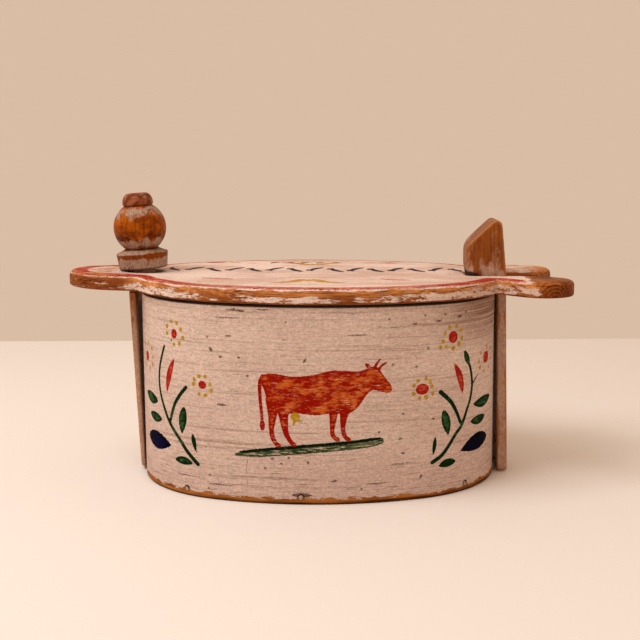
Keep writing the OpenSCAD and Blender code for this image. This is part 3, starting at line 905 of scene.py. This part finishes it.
LID_T, ROUND_TOP, ROUND_FOOT, LID_STEP, LID_NET, EDGE_WEAR = 10.0, 3.6, 1.4, 1.8, 1.9, 0.28
TONGUE_RISE, RISE_FROM, RISE_RUN = 2.2, 70.0, 98.0
PLANE_WAVE, PLANE_DEPTH = 38.0, 0.16
rim_plane = Matrix.Translation((0, 0, BOX_H * MM)) @ Matrix.Rotation(RIM_SLOPE, 4, "Y")
to_plane = np.array(rim_plane.inverted())
lid_loops = []
for line in face_loops("lid_board"):
    flat = (np.concatenate([line * MM, np.ones((len(line), 1))], 1) @ to_plane.T)[:, :2] / MM
    lid_loops.append(even_loop(flat, LID_STEP))
lid_loops.sort(key=len, reverse=True)
lid = board("lid_painted", lid_loops, LID_T, ROUND_TOP, ROUND_FOOT, LID_NET, EDGE_WEAR)
on_lid = points_of(lid)
X, Y, H = on_lid.T
to_edge = inside_line(X, Y, lid_loops[0])
planed = ripple(on_lid * (0.35, 1, 0), PLANE_WAVE, 5) * PLANE_DEPTH - SUNK
on_lid[:, 2] += planed * ease(H, LID_T - 0.5, LID_T) * ease(to_edge, 2, 8)
warp = TONGUE_RISE * (np.maximum(-X - RISE_FROM, 0) / RISE_RUN) ** 1.3
lid.data.vertices.foreach_set("co", ((on_lid + np.outer(warp, (0, 0, 1))) * MM).ravel())
underside = np.array([p.normal.z < -0.9 for p in lid.data.polygons], np.int32)
lid.data.polygons.foreach_set("material_index", underside)
lid.data.transform(rim_plane)
print("lid outlines:", [len(line) for line in lid_loops])

# %% [markdown]
# ## What is painted on the lid
# A red border follows the edge, and inside it lie a row of dark comma strokes, a few red strokes
# and two pairs of yellow leaves, all common brush ornaments. How bare the wood is gets stored as
# well: the edges are rubbed, the fork's ends and the tongue's side most of all.

# %% Ornaments on the lid
on_top = H > LID_T - 1.2
front, at_ends = ease(-Y, -30.0, 20.0), np.maximum(ease(-X, 60.0, 120.0), ease(X, 60.0, 105.0))
on_tongue = ease(-X, 116.0, 128.0)
border = np.minimum(H - 9.2, 6.0 + 4.0 * front + 3.0 * on_tongue - to_edge)
round_catch = (X > 78) & (np.abs(Y) < 27) | (X > 104) & (Y > -27)
border = np.where(round_catch, FAR, border)
border = np.minimum(border, 148.0 - X) - 4.0 * (np.abs(X - 136.0) < 2.5)

ROW_Y, COMMA_STEP = 20.0, 14.0
commas, dots = [((at, 59.0), (at + 6.0, 70.0), 1.7, 0.2, 0.65) for at in -35.0 + 11.0 * np.arange(5)], []
for i in range(15):
    at, way = -98.0 + COMMA_STEP * i, 1 if i % 2 else -1
    commas.append(((at - 4.0, ROW_Y - 15.0 * way), (at + 4.0, ROW_Y + 15.0 * way), 2.6, 0.12 * way, 0.7))
    dots.append(((at + 7.0, ROW_Y + 4.0 * way), 1.7, 4.0))
yellow_leaves, yellow_dabs = [], [((-62.0, 67.0), 4.5, 2.0, 0.1), ((36.0, 67.0), 4.5, 2.0, -0.1)]
for s, y0 in ((-1, -39.0), (1, 46.0)):
    yellow_dabs.append(((-5.0, y0 + s * 7.0), 2.2, 5.0))
    yellow_leaves += [((m * 3.0 - 5, y0), (m * 25.0 - 5, y0 + s * 21.0), 3.6, 0.16 * m * s, 0.4)
                      for m in (-1, 1)]
red_leaves = [((-76.0, -33.0), (-53.0, -41.0), 3.2, 0.06), ((62.0, -42.0), (40.0, -35.0), 3.0, 0.06),
              ((-82.0, 62.0), (-67.0, 66.0), 2.0, 0.1), ((42.0, 67.0), (56.0, 64.0), 2.0, 0.1)]
ornaments = {"lid_red": strokes(X, Y, leaves=red_leaves), "lid_blue": strokes(X, Y, leaves=commas, blots=dots),
             "lid_yellow": strokes(X, Y, leaves=yellow_leaves, blots=yellow_dabs)}
for label, field in ornaments.items():
    field = np.where(on_top, field, FAR)
    store(lid, label, np.maximum(border, field) if label == "lid_red" else field)
store(lid, "lid_dry", 0.64 - 0.52 * at_ends)
print("ornaments on the lid:", sorted(ornaments))

# %% Wear of the lid
uneven = ripple(on_lid * (0.5, 1, 1), 24.0, 8)
thin_arris = np.maximum(ease(-X, 70.0, 100.0), ease(X, 40.0, 80.0))
arris_low = 5.0 + 1.3 * thin_arris + 0.9 * uneven
arris = ease(H, arris_low - 0.5, arris_low + 0.6) * ease(H, 8.9, 7.9)
on_side = ease(LID_T - H, 0.8, 2.4)
prong_tip, rear_prong = ease(X - 4.0 * on_side, 133.0, 141.0) * (Y < 0), ease(X, 108.0, 120.0) * (Y > 0)
bare_side = 0.46 - 0.08 * thin_arris - 0.12 * ease(X, 104.0, 116.0) + 0.12 * uneven
bare_side = union(bare_side, 1.05 * arris, 0.84 * on_tongue, 0.8 * rear_prong, 0.95 * ease(H, 1.4, 0.7))
bare_top = 0.08 + 0.25 * np.exp(-np.maximum(to_edge, 0) / 3.0)
bare = union(bare_top * (1 - on_side) + bare_side * on_side, 1.15 * prong_tip,
             1.1 * ease(X, 146.0, 158.0) * (Y > 0), 0.34 * on_tongue, 0.40 * rear_prong)
handled = union(on_tongue * on_side, 0.5 * prong_tip * on_side, 0.8 * rear_prong * on_side, ease(H, 1.4, 0.6),
                0.75 * ease(H, 6.0, 4.6) * on_side)
for label, field in (("bare", bare), ("end_grain", prong_tip), ("handled", handled)):
    store(lid, label, field)
print("lid wear from", round(float(bare.min()), 2), "to", round(float(bare.max()), 2))

# %% Wood of the lid


def object_place():
    return add_node("ShaderNodeTexCoord").outputs["Object"]


PRONG_END = (0.1507, -0.0562, 0.1235)
painted_lid = new_material("painted_lid", 0.08)
place = object_place()
wood = use_group(ringed_wood, Position=place, Pith=(0, -0.054, 0.09), Ring_width=0.0031, Rings=0.25,
                 Pale=rgb(214, 142, 80), Dark=rgb(130, 66, 24))
turned = add_node("ShaderNodeVectorRotate", {"Vector": place, "Center": PRONG_END, "Angle": math.radians(62)},
                  rotation_type="Z_AXIS").outputs[0]
end_wood = use_group(ringed_wood, Position=turned, Pith=PRONG_END, Ring_width=0.0023, Wander=0.003, Rings=0.55,
                     Pale=rgb(184, 104, 38), Dark=rgb(90, 38, 6))
bare_wood = blend(stored("end_grain"), wood["Colour"], end_wood["Colour"])
lid_wood = blend(times(stored("handled"), 0.9), bare_wood, blend(1.0, bare_wood, rgb(174, 136, 88), "MULTIPLY"))
print("nodes in the lid's wood:", len(tree.nodes))

# %% Paint of the lid
LID_WHITE, LID_WHITE_LOW = rgb(234, 212, 200), rgb(212, 182, 166)
marks = use_group(grime, Position=place, Cells=85.0, Share=0.3, Size=0.05)
white = blend(ramp(streaks(place, (16, 30, 30)), 0.62, 0.38), LID_WHITE, LID_WHITE_LOW)
grain = streaks(place, (10, 420, 420), 4.0, 0.6)
white = blend(ramp(grain, 0.46, 0.32, 0.0, 0.5), white, rgb(166, 122, 96))
white = darkened(white, times(marks["Mottle"], 0.36, 0.8))
paint, _ = lay_paints(white, place, [
    ("lid_red", 0.6, stored("lid_dry"), rgb(164, 48, 36), rgb(216, 124, 98)),
    ("lid_blue", 0.3, 0.2, rgb(30, 28, 44), rgb(66, 62, 80)),
    ("lid_yellow", 0.5, 0.25, rgb(176, 124, 34), rgb(206, 164, 80))], 0.42, 0.62)
paint = blend(times(marks["Specks"], 0.8), paint, rgb(64, 38, 28))
worn = stored("bare")
cracks = ramp(streaks(place, (70, 90, 1100), 3.0, 0.6), 0.44, 0.36, 0.0, 0.8)
flaked = use_group(flaking_paint, Position=stretch(place, (70, 130, 330)), Bare=worn, Softness=0.12)
colour = blend(flaked["Cover"], lid_wood, paint)
colour = blend(times(cracks, ramp(worn, 0.25, 0.6)), colour, rgb(74, 34, 12))
height = times(wood["Height"], 0.3, times(flaked["Cover"], 0.8, times(grain, 0.5)))
set_finish(colour, ramp(flaked["Cover"], 0.0, 1.0, 0.5, 0.66), height, 0.00045, 0.55)
bare_under = plain_wood("bare_under", object_place, (0, -0.037, 0.100), 0.0055,
                        (190, 142, 96), (134, 88, 52), 45.0, 0.25)
finish_piece(lid, "lid_board", "lid", "painted_lid", painted_lid, bare_under)

# %% [markdown]
# ## The bottom board
# The bottom is a planed oval board, let into the band and held by pegs. It is made with the same
# board tool, from the largest of the frame's own outlines.

# %% Shape the bottom board
BOARD_T, BOARD_ROUND, BOARD_STEP, BOARD_NET = 9.0, 0.6, 3.0, 7.0
longest = max(face_loops("bottom_board"), key=lambda line: np.ptp(line[:, 0]))
bottom_line = even_loop(longest[:, :2], BOARD_STEP)
bottom = board("bottom_oval", [bottom_line], BOARD_T, BOARD_ROUND, BOARD_ROUND, BOARD_NET)
bottom_wood = plain_wood("bottom_wood", object_place, (0, 0.03, -0.05), 0.006,
                         (184, 140, 98), (126, 84, 52), 40.0, 0.3, (0.6, rgb(60, 40, 26)), 0.8)
finish_piece(bottom, "bottom_board", "box", "pale_wood", bottom_wood)

# %% [markdown]
# ## The two carved posts
# The posts were split and whittled, and years of hands have rounded every edge. A copy of each CAD
# post is rebuilt as an even skin of small faces and then relaxed, which wears the edges down as
# hands do. Comparing it with a copy relaxed further shows where the edges are, and that is stored
# for the paint to wear by.

# %% Worn copies of the posts
VOXEL, MORE_ROUNDS = 0.0007, 14


def evaluated(piece):
    """What a piece's modifiers make of it, as a plain mesh."""
    return bpy.data.meshes.new_from_object(piece.evaluated_get(bpy.context.evaluated_depsgraph_get()))


def relaxed(mesh, rounds):
    """The mesh rebuilt in small even faces and smoothed."""
    helper = new_object("helper", mesh)
    skin = helper.modifiers.new("skin", "REMESH")
    skin.mode, skin.voxel_size = "VOXEL", VOXEL
    wear = helper.modifiers.new("wear", "SMOOTH")
    wear.factor, wear.iterations = 0.5, rounds
    made = evaluated(helper)
    bpy.data.objects.remove(helper)
    return made


def worn_copy(node, name, rounds):
    """A CAD node with its edges worn round, and the attribute edge where they were."""
    bm = merged(node)
    source = bpy.data.meshes.new(name + "_source")
    bm.to_mesh(source)
    bm.free()
    worn, smoother = relaxed(source, rounds), relaxed(source, rounds + MORE_ROUNDS)
    worn.name = name
    smooth(worn)
    piece = new_object(name, worn)
    moved = points_of(piece) - np.array([v.co for v in smoother.vertices]) / MM
    store(piece, "edge", (moved * np.array([v.normal for v in worn.vertices])).sum(1))
    bpy.data.meshes.remove(smoother)
    bpy.data.meshes.remove(source)
    return piece


hinge_post = worn_copy("hinge_post", "post_hinge", 5)
catch_post = worn_copy("catch_post", "post_catch", 7)
on_catch = points_of(catch_post)
over_lid = on_catch[:, 2] - rim_height(on_catch[:, 0]) - LID_T
inner_side = ease(on_catch[:, 0], 111.0, 101.0)
# Painted shadow where the catch goes through the lid's slot and under its nose, stored for the post's paint.
slot_shadow_line = ease(over_lid, -4.0, -1.0) * ease(2.6 * inner_side - over_lid, -0.3, 0.5)
store(catch_post, "slot_shadow", slot_shadow_line * ease(inner_side, 0.0, 0.4))
print("vertices of the posts:", len(hinge_post.data.vertices), len(on_catch))

# %% [markdown]
# The catch post is bare above the lid, where hands push it, with a reddish tint in the grain, and
# painted shadow darkens it where it goes through the lid and under its nose. Below the rim it keeps
# its pinkish white, rubbed to wood along its edges. On both posts the bare wood gets a painted
# highlight along the rounded edges. Both posts stand upright, so their position is turned before it
# goes into the wood group: the grain runs up.

# %% Post material


def vector(x=0.0, y=0.0, z=0.0):
    return add_node("ShaderNodeCombineXYZ", {0: x, 1: y, 2: z}).outputs[0]


def turned_up(place):
    """The position with its height first, so that the grain runs upwards."""
    x, y, z = split(place)
    return vector(z, x, y)


def post_finish(name, pith, head_from, head_bare, bare_low, edge_wear):
    """Rubbed wood with remains of paint, barer above a height."""
    material = new_material(name, 0.15)
    place = object_place()
    grain_way = turned_up(place)
    wood = use_group(ringed_wood, Position=grain_way, Pith=pith, Ring_width=0.0034, Rings=0.12,
                     Pale=rgb(156, 86, 24), Dark=rgb(92, 42, 8))
    marks = use_group(grime, Position=place, Cells=70.0, Share=0.3, Size=0.05)
    tint = streaks(grain_way, (40, 130, 130), 4.0, 0.6)
    bare_wood = blend(ramp(tint, 0.5, 0.66, 0.0, 0.6), wood["Colour"], rgb(112, 38, 8))
    edge = ramp(stored("edge"), 0.02, 0.22)
    # Painted highlight: the bare wood is lighter along the rounded edges.
    bare_wood = blend(times(edge, 0.6), bare_wood, rgb(192, 132, 78))
    above = ramp(split(place)[2], head_from, head_from + 0.02)
    bare = add(times(above, head_bare, bare_low), times(edge, edge_wear))
    flaked = use_group(flaking_paint, Position=stretch(grain_way, (32, 75, 75)), Bare=bare, Softness=0.22)
    mottled = blend(marks["Mottle"], rgb(156, 122, 100), rgb(204, 172, 152))
    colour = blend(times(flaked["Cover"], 0.85), bare_wood, mottled)
    colour = blend(times(marks["Specks"], 0.7), colour, rgb(52, 26, 14))
    # Darker in the hollows, where the surface curves inwards.
    colour = blend(ramp(stored("edge"), -0.04, -0.3, 0.0, 0.8), colour, rgb(40, 20, 12))
    # Painted shadow in the lid's slot and under the catch's nose.
    colour = blend(times(stored("slot_shadow"), 0.95), colour, rgb(20, 9, 5))
    height = times(flaked["Cover"], 0.4, wood["Height"])
    set_finish(colour, ramp(flaked["Cover"], 0, 1, 0.42, 0.62), height, 0.0003, 0.5)
    return material


catch_wood = post_finish("catch_wood", (0, 0.150, -0.03), 0.126, 0.74, 0.08, 0.6)
hinge_wood = post_finish("hinge_wood", (0, -0.150, 0.02), 0.100, 0.34, 0.06, 0.3)
finish_piece(catch_post, "catch_post", "catch", "bare_post", catch_wood)
finish_piece(hinge_post, "hinge_post", "box", "bare_post", hinge_wood)

# %% [markdown]
# ## The turned knob
# The knob came off a lathe: a drum, a ball and a cap on one axis, which leans outwards with the
# neck it sits on. A profile is spun round that axis in rings. The height along the axis is stored,
# because the wear follows it: the ball is rubbed to amber wood round its middle, and paint is left
# where fingers don't reach.

# %% Spin the knob
NECK_X, LEAN, NECK_TOP, SPIN = -117.4, math.radians(-3.5), 12.9, 96
HOLE_R, HOLE_TOP, BALL_Z, BALL_R = 4.55, 16.3, 27.3, 17.5
ball_from, ball_to = (math.degrees(math.asin(z / BALL_R)) for z in (-13.6, 14.6))
knob_profile = [(HOLE_R, HOLE_TOP), (HOLE_R, 0.2), (HOLE_R + 0.3, 0.0), (8.0, 0.0), (12.0, 0.0)]
knob_profile += arc((15.4, 0.8), 0.8, -90, -5, 4) + [(16.5, 3.5), (16.8, 6.2), (17.05, 8.6)]
knob_profile += arc((16.3, 10.0), 1.0, 0, 80, 5)
knob_profile += [(15.6, 11.2), (14.2, 11.8), (12.8, 12.45), (11.7, 13.1), (11.2, 13.5)]
knob_profile += arc((0, BALL_Z), BALL_R, ball_from, ball_to, 34)
knob_profile += [(9.5, 42.05), (9.55, 42.3), (9.9, 42.6), (10.15, 43.3), (10.2, 44.2), (10.1, 45.3),
                 (9.8, 46.6), (9.3, 47.8), (8.6, 48.9), (7.7, 49.75), (6.7, 50.3), (5.4, 50.5), (2.7, 50.55)]

turn = 2 * math.pi * np.arange(SPIN) / SPIN
radius, axial = np.array(knob_profile).T
wobble = radius * (1 + 0.006 * np.sin(2 * turn + 0.7)[:, None] * ease(axial, 14, 20))
ring_x, ring_y = wobble * np.cos(turn)[:, None], wobble * np.sin(turn)[:, None]
rows = len(radius)
local = np.stack([ring_x, ring_y, np.broadcast_to(axial, ring_x.shape)], -1).reshape(-1, 3)
local = np.concatenate([local, [(0, 0, HOLE_TOP), (0, 0, axial[-1])]])
low_pole, high_pole = len(local) - 2, len(local) - 1
knob_faces = []
for j in range(SPIN):
    k = (j + 1) % SPIN
    knob_faces += [(j * rows + i, k * rows + i, k * rows + i + 1, j * rows + i + 1) for i in range(rows - 1)]
    knob_faces += [(k * rows, j * rows, low_pole), (j * rows + rows - 1, k * rows + rows - 1, high_pole)]
knob = make_mesh("knob_turned", local, knob_faces)
store(knob, "axial", local[:, 2] * MM)
stand = Matrix.Translation((NECK_X * MM, 0, rim_height(NECK_X) * MM)) @ Matrix.Rotation(LEAN, 4, "Y")
knob.data.transform(stand @ Matrix.Translation((0, 0, NECK_TOP * MM)))
print("knob profile points:", rows)

# %% Knob wood
turned_knob = new_material("turned_knob", 0.06)
place = object_place()
tall = stored("axial")
wood = use_group(ringed_wood, Position=turned_up(place), Pith=(0, -0.150, -0.02), Ring_width=0.0045, Rings=0.18,
                 Pale=rgb(184, 94, 8), Dark=rgb(112, 47, 2))
tint = streaks(place, (110, 110, 190), 4.0, 0.6)
bare_wood = blend(ramp(tint, 0.48, 0.64, 0.0, 0.6), wood["Colour"], rgb(92, 33, 3))
low_band = times(ramp(tall, 0.016, 0.020), ramp(tall, 0.027, 0.021))
bare_wood = blend(times(low_band, ramp(tint, 0.36, 0.56)), bare_wood, rgb(80, 28, 6))
bare_wood = blend(ramp(tall, 0.0130, 0.0120, 0.0, 0.6), bare_wood, rgb(98, 46, 14))
cap_red = blend(ramp(clouds(place, 220.0, 4.0), 0.42, 0.6), rgb(112, 50, 18), rgb(152, 88, 60))
bare_wood = blend(ramp(tall, 0.0418, 0.0424), bare_wood, cap_red)
print("nodes in the knob's wood:", len(tree.nodes))

# %% Knob paint and wear


def zone(low, high, soft, share):
    """A share between two heights on the knob, with soft ends."""
    return times(times(ramp(tall, low - soft, low + soft), ramp(tall, high + soft, high - soft)), share)


PAINTED = [(-0.01, 0.0072, 0.0016, 0.78), (0.0100, 0.0130, 0.0008, 0.7), (0.0134, 0.0200, 0.004, 0.75),
           (0.0352, 0.0418, 0.004, 0.7), (0.0424, 0.0600, 0.002, 0.2)]
# The first two rows darken the turned grooves; the last row is painted shade along the foot of the drum, where
# it stands over the lid.
GROOVES_AND_FOOT_SHADE = [(0.0126, 0.0140, 0.0006, 0.75), (0.0416, 0.0425, 0.0005, 0.75), (-0.002, 0.0009, 0.0005, 0.75)]
marks = use_group(grime, Position=place, Cells=90.0, Share=0.35, Size=0.06)
keeps = largest(*[zone(*heights) for heights in PAINTED])
flaked = use_group(flaking_paint, Position=stretch(place, (170, 170, 70)), Bare=calc("SUBTRACT", 1.0, keeps),
                   Softness=0.16)
old_white = blend(marks["Mottle"], rgb(134, 108, 90), rgb(190, 164, 147))
colour = blend(times(flaked["Cover"], 0.92), bare_wood, old_white)
colour = blend(times(marks["Specks"], 0.7), colour, rgb(48, 22, 10))
# Dark grooves, and painted shade at the foot of the drum.
for heights in GROOVES_AND_FOOT_SHADE:
    colour = blend(zone(*heights), colour, rgb(44, 20, 8))
height = times(flaked["Cover"], 0.6, times(wood["Height"], 0.5))
set_finish(colour, ramp(flaked["Cover"], 0, 1, 0.36, 0.62), height, 0.0004, 0.5)
finish_piece(knob, "knob", "box", "turned_knob", turned_knob)

# %% [markdown]
# ## Pegs
# Wooden pegs hold the bottom and the posts. They are all alike, so one Geometry Nodes tree makes
# them: it puts a whittled, twelve-sided peg with a soft head on each point, aimed along the point's
# own direction and given a random roll. The points are the only thing that differs between groups.

# %% Helpers for geometry nodes
GEOMETRY, MATERIAL = ("Geometry", "Geometry", None), ("Material", "Material", None)


def grow(name, points, aims, grown_by, ids, settings):
    """Runs a geometry tree on points with an aim each and returns the result as a plain mesh object."""
    seeds = make_mesh(name, points, [])
    aim = seeds.data.attributes.new("aim", "FLOAT_VECTOR", "POINT")
    aim.data.foreach_set("vector", np.asarray(aims, np.float32).ravel())
    modifier = seeds.modifiers.new("grow", "NODES")
    modifier.node_group = grown_by
    for label, value in settings.items():
        modifier[ids[label]] = value
    made = evaluated(seeds)
    seeds.modifiers.clear()
    seeds.data = made
    made.name = name
    made.materials.clear()
    smooth(made)
    return seeds


def lifted(mesh, z):
    return add_node("GeometryNodeTransform", {0: mesh, "Translation": vector(z=z)}).outputs[0]


def joined(*meshes):
    both = add_node("GeometryNodeJoinGeometry")
    for mesh in meshes:
        tree.links.new(mesh, both.inputs[0])
    return both.outputs[0]


def aimed(geometry, instance, roll):
    """Instances on points, their Z along each point's aim, rolled by up to an angle."""
    aim = add_node("GeometryNodeInputNamedAttribute", {"Name": "aim"}, data_type="FLOAT_VECTOR").outputs[0]
    way = add_node("FunctionNodeAlignRotationToVector", {"Vector": aim}, axis="Z").outputs[0]
    spin = add_node("FunctionNodeRandomValue", {2: -roll, 3: roll, "Seed": 4}, data_type="FLOAT").outputs[1]
    roll_by = add_node("FunctionNodeAxisAngleToRotation", {"Axis": (0, 0, 1), "Angle": spin}).outputs[0]
    rotation = add_node("FunctionNodeRotateRotation", {0: way, 1: roll_by}, rotation_space="LOCAL")
    inputs = {"Points": geometry, "Instance": instance, "Rotation": rotation.outputs[0]}
    return add_node("GeometryNodeInstanceOnPoints", inputs).outputs[0]


def end_tree(result, instances, material):
    """Ends a tree with real faces in a material, because the export drops instances."""
    solid = add_node("GeometryNodeRealizeInstances", {0: instances}).outputs[0]
    put(result, Geometry=add_node("GeometryNodeSetMaterial", {0: solid, "Material": material}).outputs[0])


# %% Peg wood and peg tree
SIDES = 12
peg_wood = new_material("peg_wood", 0.3)
place = object_place()
wood = use_group(ringed_wood, Position=place, Pith=(0, 0, 0), Ring_width=0.0011,
                 Pale=rgb(120, 76, 46), Dark=rgb(62, 34, 20))
marks = use_group(grime, Position=place, Cells=400.0, Share=0.5, Size=0.2)
old_paint = ramp(clouds(place, 520.0, 3.0), 0.42, 0.52, 0.0, 0.85)
colour = blend(marks["Specks"], blend(old_paint, wood["Colour"], rgb(184, 154, 136)), rgb(36, 20, 12))
set_finish(colour, ramp(marks["Mottle"], 0.3, 0.7, 0.55, 0.75), wood["Height"])

peg_tree, given, result, peg_ids = new_tree(
    "driven_pegs", "Geometry",
    [GEOMETRY, ("Radius", "Float", 0.0016), ("Length", "Float", 0.014), ("Head", "Float", 0.0003), MATERIAL],
    [GEOMETRY[:2]])
shank = add_node("GeometryNodeMeshCylinder",
                 {"Vertices": SIDES, "Radius": given["Radius"], "Depth": given["Length"]}).outputs["Mesh"]
head = add_node("GeometryNodeMeshCone", {
    "Vertices": SIDES, "Radius Top": times(given["Radius"], 0.72), "Radius Bottom": given["Radius"],
    "Depth": given["Head"]}).outputs["Mesh"]
head_foot = times(given["Head"], -1.0)
shank_middle = calc("SUBTRACT", times(given["Length"], -0.5), given["Head"])
whole = joined(lifted(shank, shank_middle), lifted(head, head_foot))
# The two discs where head and shank meet are hidden inside, so they are deleted before merging
height = split(add_node("GeometryNodeInputPosition").outputs[0])[2]
seam = calc("COMPARE", height, head_foot, times(given["Head"], 0.25))
opened = add_node("GeometryNodeDeleteGeometry", {0: whole, "Selection": seam}, domain="FACE", mode="ONLY_FACE")
peg = add_node("GeometryNodeMergeByDistance", {0: opened.outputs[0], "Distance": 1e-6}).outputs[0]
end_tree(result, aimed(given["Geometry"], peg, math.pi), given["Material"])
print("nodes in the peg tree:", len(tree.nodes))

# %% Place the pegs
PEG_PROUD, PEG_LENGTH, BOTTOM_PEG_R, POST_PEG_R, BETWEEN_PEGS = 0.3, 14.0, 1.6, 1.9, 12.0
PEG_ANGLES = [-124, -93, -45, 54, 106, 126]


def place_pegs(name, node, points, aims, radius):
    settings = {"Radius": radius * MM, "Length": (PEG_LENGTH - PEG_PROUD) * MM, "Head": PEG_PROUD * MM,
                "Material": peg_wood}
    finish_piece(grow(name, points, aims, peg_tree, peg_ids, settings), node, "box", "peg_wood", peg_wood)


peg_points, peg_aims = [], []
for a in np.radians(PEG_ANGLES):
    out = np.array([math.cos(a), math.sin(a)])
    flank = abs(out[1]) > math.sin(math.pi / 2 - JOINT)
    centre = np.array([0, -math.copysign(SIDE_C, out[1])] if flank else [math.copysign(END_C, out[0]), 0])
    at = centre + out * ((SIDE_R if flank else END_R) + PEG_PROUD)
    peg_points.append((*at, BOARD_T / 2))
    peg_aims.append((*out, 0))
place_pegs("pegs_bottom", "bottom_pegs", peg_points, peg_aims, BOTTOM_PEG_R)
for name, node, sign in (("pegs_hinge_post", "hinge_post_pegs", -1), ("pegs_catch_post", "catch_post_pegs", 1)):
    co = np.array([v.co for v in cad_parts[node].data.vertices]) / MM
    upper = co[:, 2] > BETWEEN_PEGS
    ends = [(sign * np.abs(co[pick, 0]).max(), 0, co[pick, 2].mean()) for pick in (~upper, upper)]
    place_pegs(name, node, ends, [(sign, 0, 0)] * 2, POST_PEG_R)

# %% [markdown]
# ## Root lacing
# The overlap at the back is sewn with split root, in two rows of upright stitches. Each stitch is a
# flat half-round strand that rises from a slit, runs up the face and dives into the next one. A
# second tree bends such a strand outside and inside the wall at every point.

# %% Root and stitch tree
lace_root = new_material("lace_root", 0.4)
place = object_place()
strands = streaks(turned_up(place), (60, 1800, 1800))
marks = use_group(grime, Position=place, Cells=200.0, Share=0.3, Size=0.1)
colour = blend(ramp(strands, 0.35, 0.65), rgb(94, 60, 34), rgb(160, 114, 70))
colour = blend(times(marks["Specks"], 0.7), colour, rgb(44, 26, 16))
set_finish(colour, ramp(strands, 0.3, 0.7, 0.6, 0.45), strands, 0.0003, 0.6)

stitch_tree, given, result, stitch_ids = new_tree(
    "root_stitches", "Geometry",
    [GEOMETRY, ("Height", "Float", 0.013), ("Width", "Float", 0.004), ("Thickness", "Float", 0.0009),
     ("Outside", "Float", 0.0018), ("Inside", "Float", -0.0045), MATERIAL], [GEOMETRY[:2]])
ring = add_node("GeometryNodeCurvePrimitiveCircle", {"Resolution": SIDES, "Radius": 0.5}).outputs["Curve"]
strand_size = vector(given["Width"], given["Thickness"], 1.0)
strand_oval = add_node("GeometryNodeTransform", {0: ring, "Scale": strand_size}).outputs[0]
half = times(given["Height"], 0.5)
bows = []
for level, dive in (("Outside", -1.0), ("Inside", 1.0)):
    ends = times(given["Thickness"], dive, given[level])
    middle = vector(z=times(given["Thickness"], -dive, given[level]))
    bow = add_node("GeometryNodeCurveQuadraticBezier", {
        "Resolution": 14, "Start": vector(y=times(half, -1.0), z=ends), "Middle": middle,
        "End": vector(y=half, z=ends)}).outputs[0]
    upright = add_node("GeometryNodeSetCurveNormal", {"Curve": bow}, mode="Z_UP").outputs[0]
    bows.append(add_node("GeometryNodeCurveToMesh", {
        "Curve": upright, "Profile Curve": strand_oval, "Fill Caps": True}).outputs[0])
end_tree(result, aimed(given["Geometry"], joined(*bows), 0.0), given["Material"])
print("nodes in the stitch tree:", len(tree.nodes))

# %% Lace the lap
ROWS_GAP, STITCHES = 30.0, 5
pitch = (BOX_H - BOARD_T) / STITCHES
stitch_points, stitch_aims = [], []
for side in (-1, 1):
    a = math.pi / 2 + side * math.asin(ROWS_GAP / 2 / SIDE_R)
    out = np.array([math.cos(a), math.sin(a)])
    at = np.array([0, -SIDE_C]) + out * SIDE_R
    stitch_points += [(*at, BOARD_T + (i + 0.5) * pitch) for i in range(STITCHES)]
    stitch_aims += [(*out, 0)] * STITCHES
lacing = grow("lacing_root", stitch_points, stitch_aims, stitch_tree, stitch_ids, {"Material": lace_root})
finish_piece(lacing, "lap_lacing", "box", "root_lacing", lace_root)

# %% [markdown]
# ## Stage, light and camera
# The camera stands where the photographer stood: a little above the lid, looking slightly down on
# the long side. The floor is pale and plain. A pale room gives even light from all sides, and one
# large lamp at the upper left adds a soft shadow.

# %% Floor, light and camera
FLOOR_HALF, PIXELS, SENSOR, FOCUS_PIXELS = 0.526, 640, 36.0, 1169.1
corners = [(x * FLOOR_HALF, y * FLOOR_HALF, 0) for x, y in ((-1, -1), (1, -1), (1, 1), (-1, 1))]
floor_mesh = bpy.data.meshes.new("floor")
floor_mesh.from_pydata(corners, [], [(0, 1, 2, 3)])
floor = new_object("floor", floor_mesh)
floor.data.materials.append(new_material("floor_paint", 0.2))
shader = tree.nodes["Principled BSDF"]
shader.inputs["Base Color"].default_value = rgb(242, 238, 234)
shader.inputs["Roughness"].default_value = 0.7

scene = bpy.context.scene
scene.view_settings.view_transform = "Standard"
scene.world = bpy.data.worlds.new("soft_room")
scene.world.use_nodes = True
room = scene.world.node_tree.nodes["Background"]
room.inputs[0].default_value = rgb(217, 189, 165)
room.inputs[1].default_value = 1.0

lamp = bpy.data.lights.new("ceiling_light", "AREA")
lamp.size, lamp.energy, lamp.color = 0.8, 10.5, (1.0, 0.98, 0.97)
light = new_object("ceiling_light", lamp)
light.location = (-0.65, -0.40, 1.2)
light.rotation_euler = (Vector((0, 0, 0.1)) - light.location).to_track_quat("-Z", "Y").to_euler()

lens = bpy.data.cameras.new("photo_camera")
lens.sensor_width = SENSOR
lens.lens = FOCUS_PIXELS / PIXELS * SENSOR
camera = new_object("photo_camera", lens)
camera.location = (0.01698, -0.78716, 0.22112)
camera.rotation_euler = (1.42109, 0.00742, 0.01888)
scene.camera = camera
print("focal length:", round(lens.lens, 1), "mm")
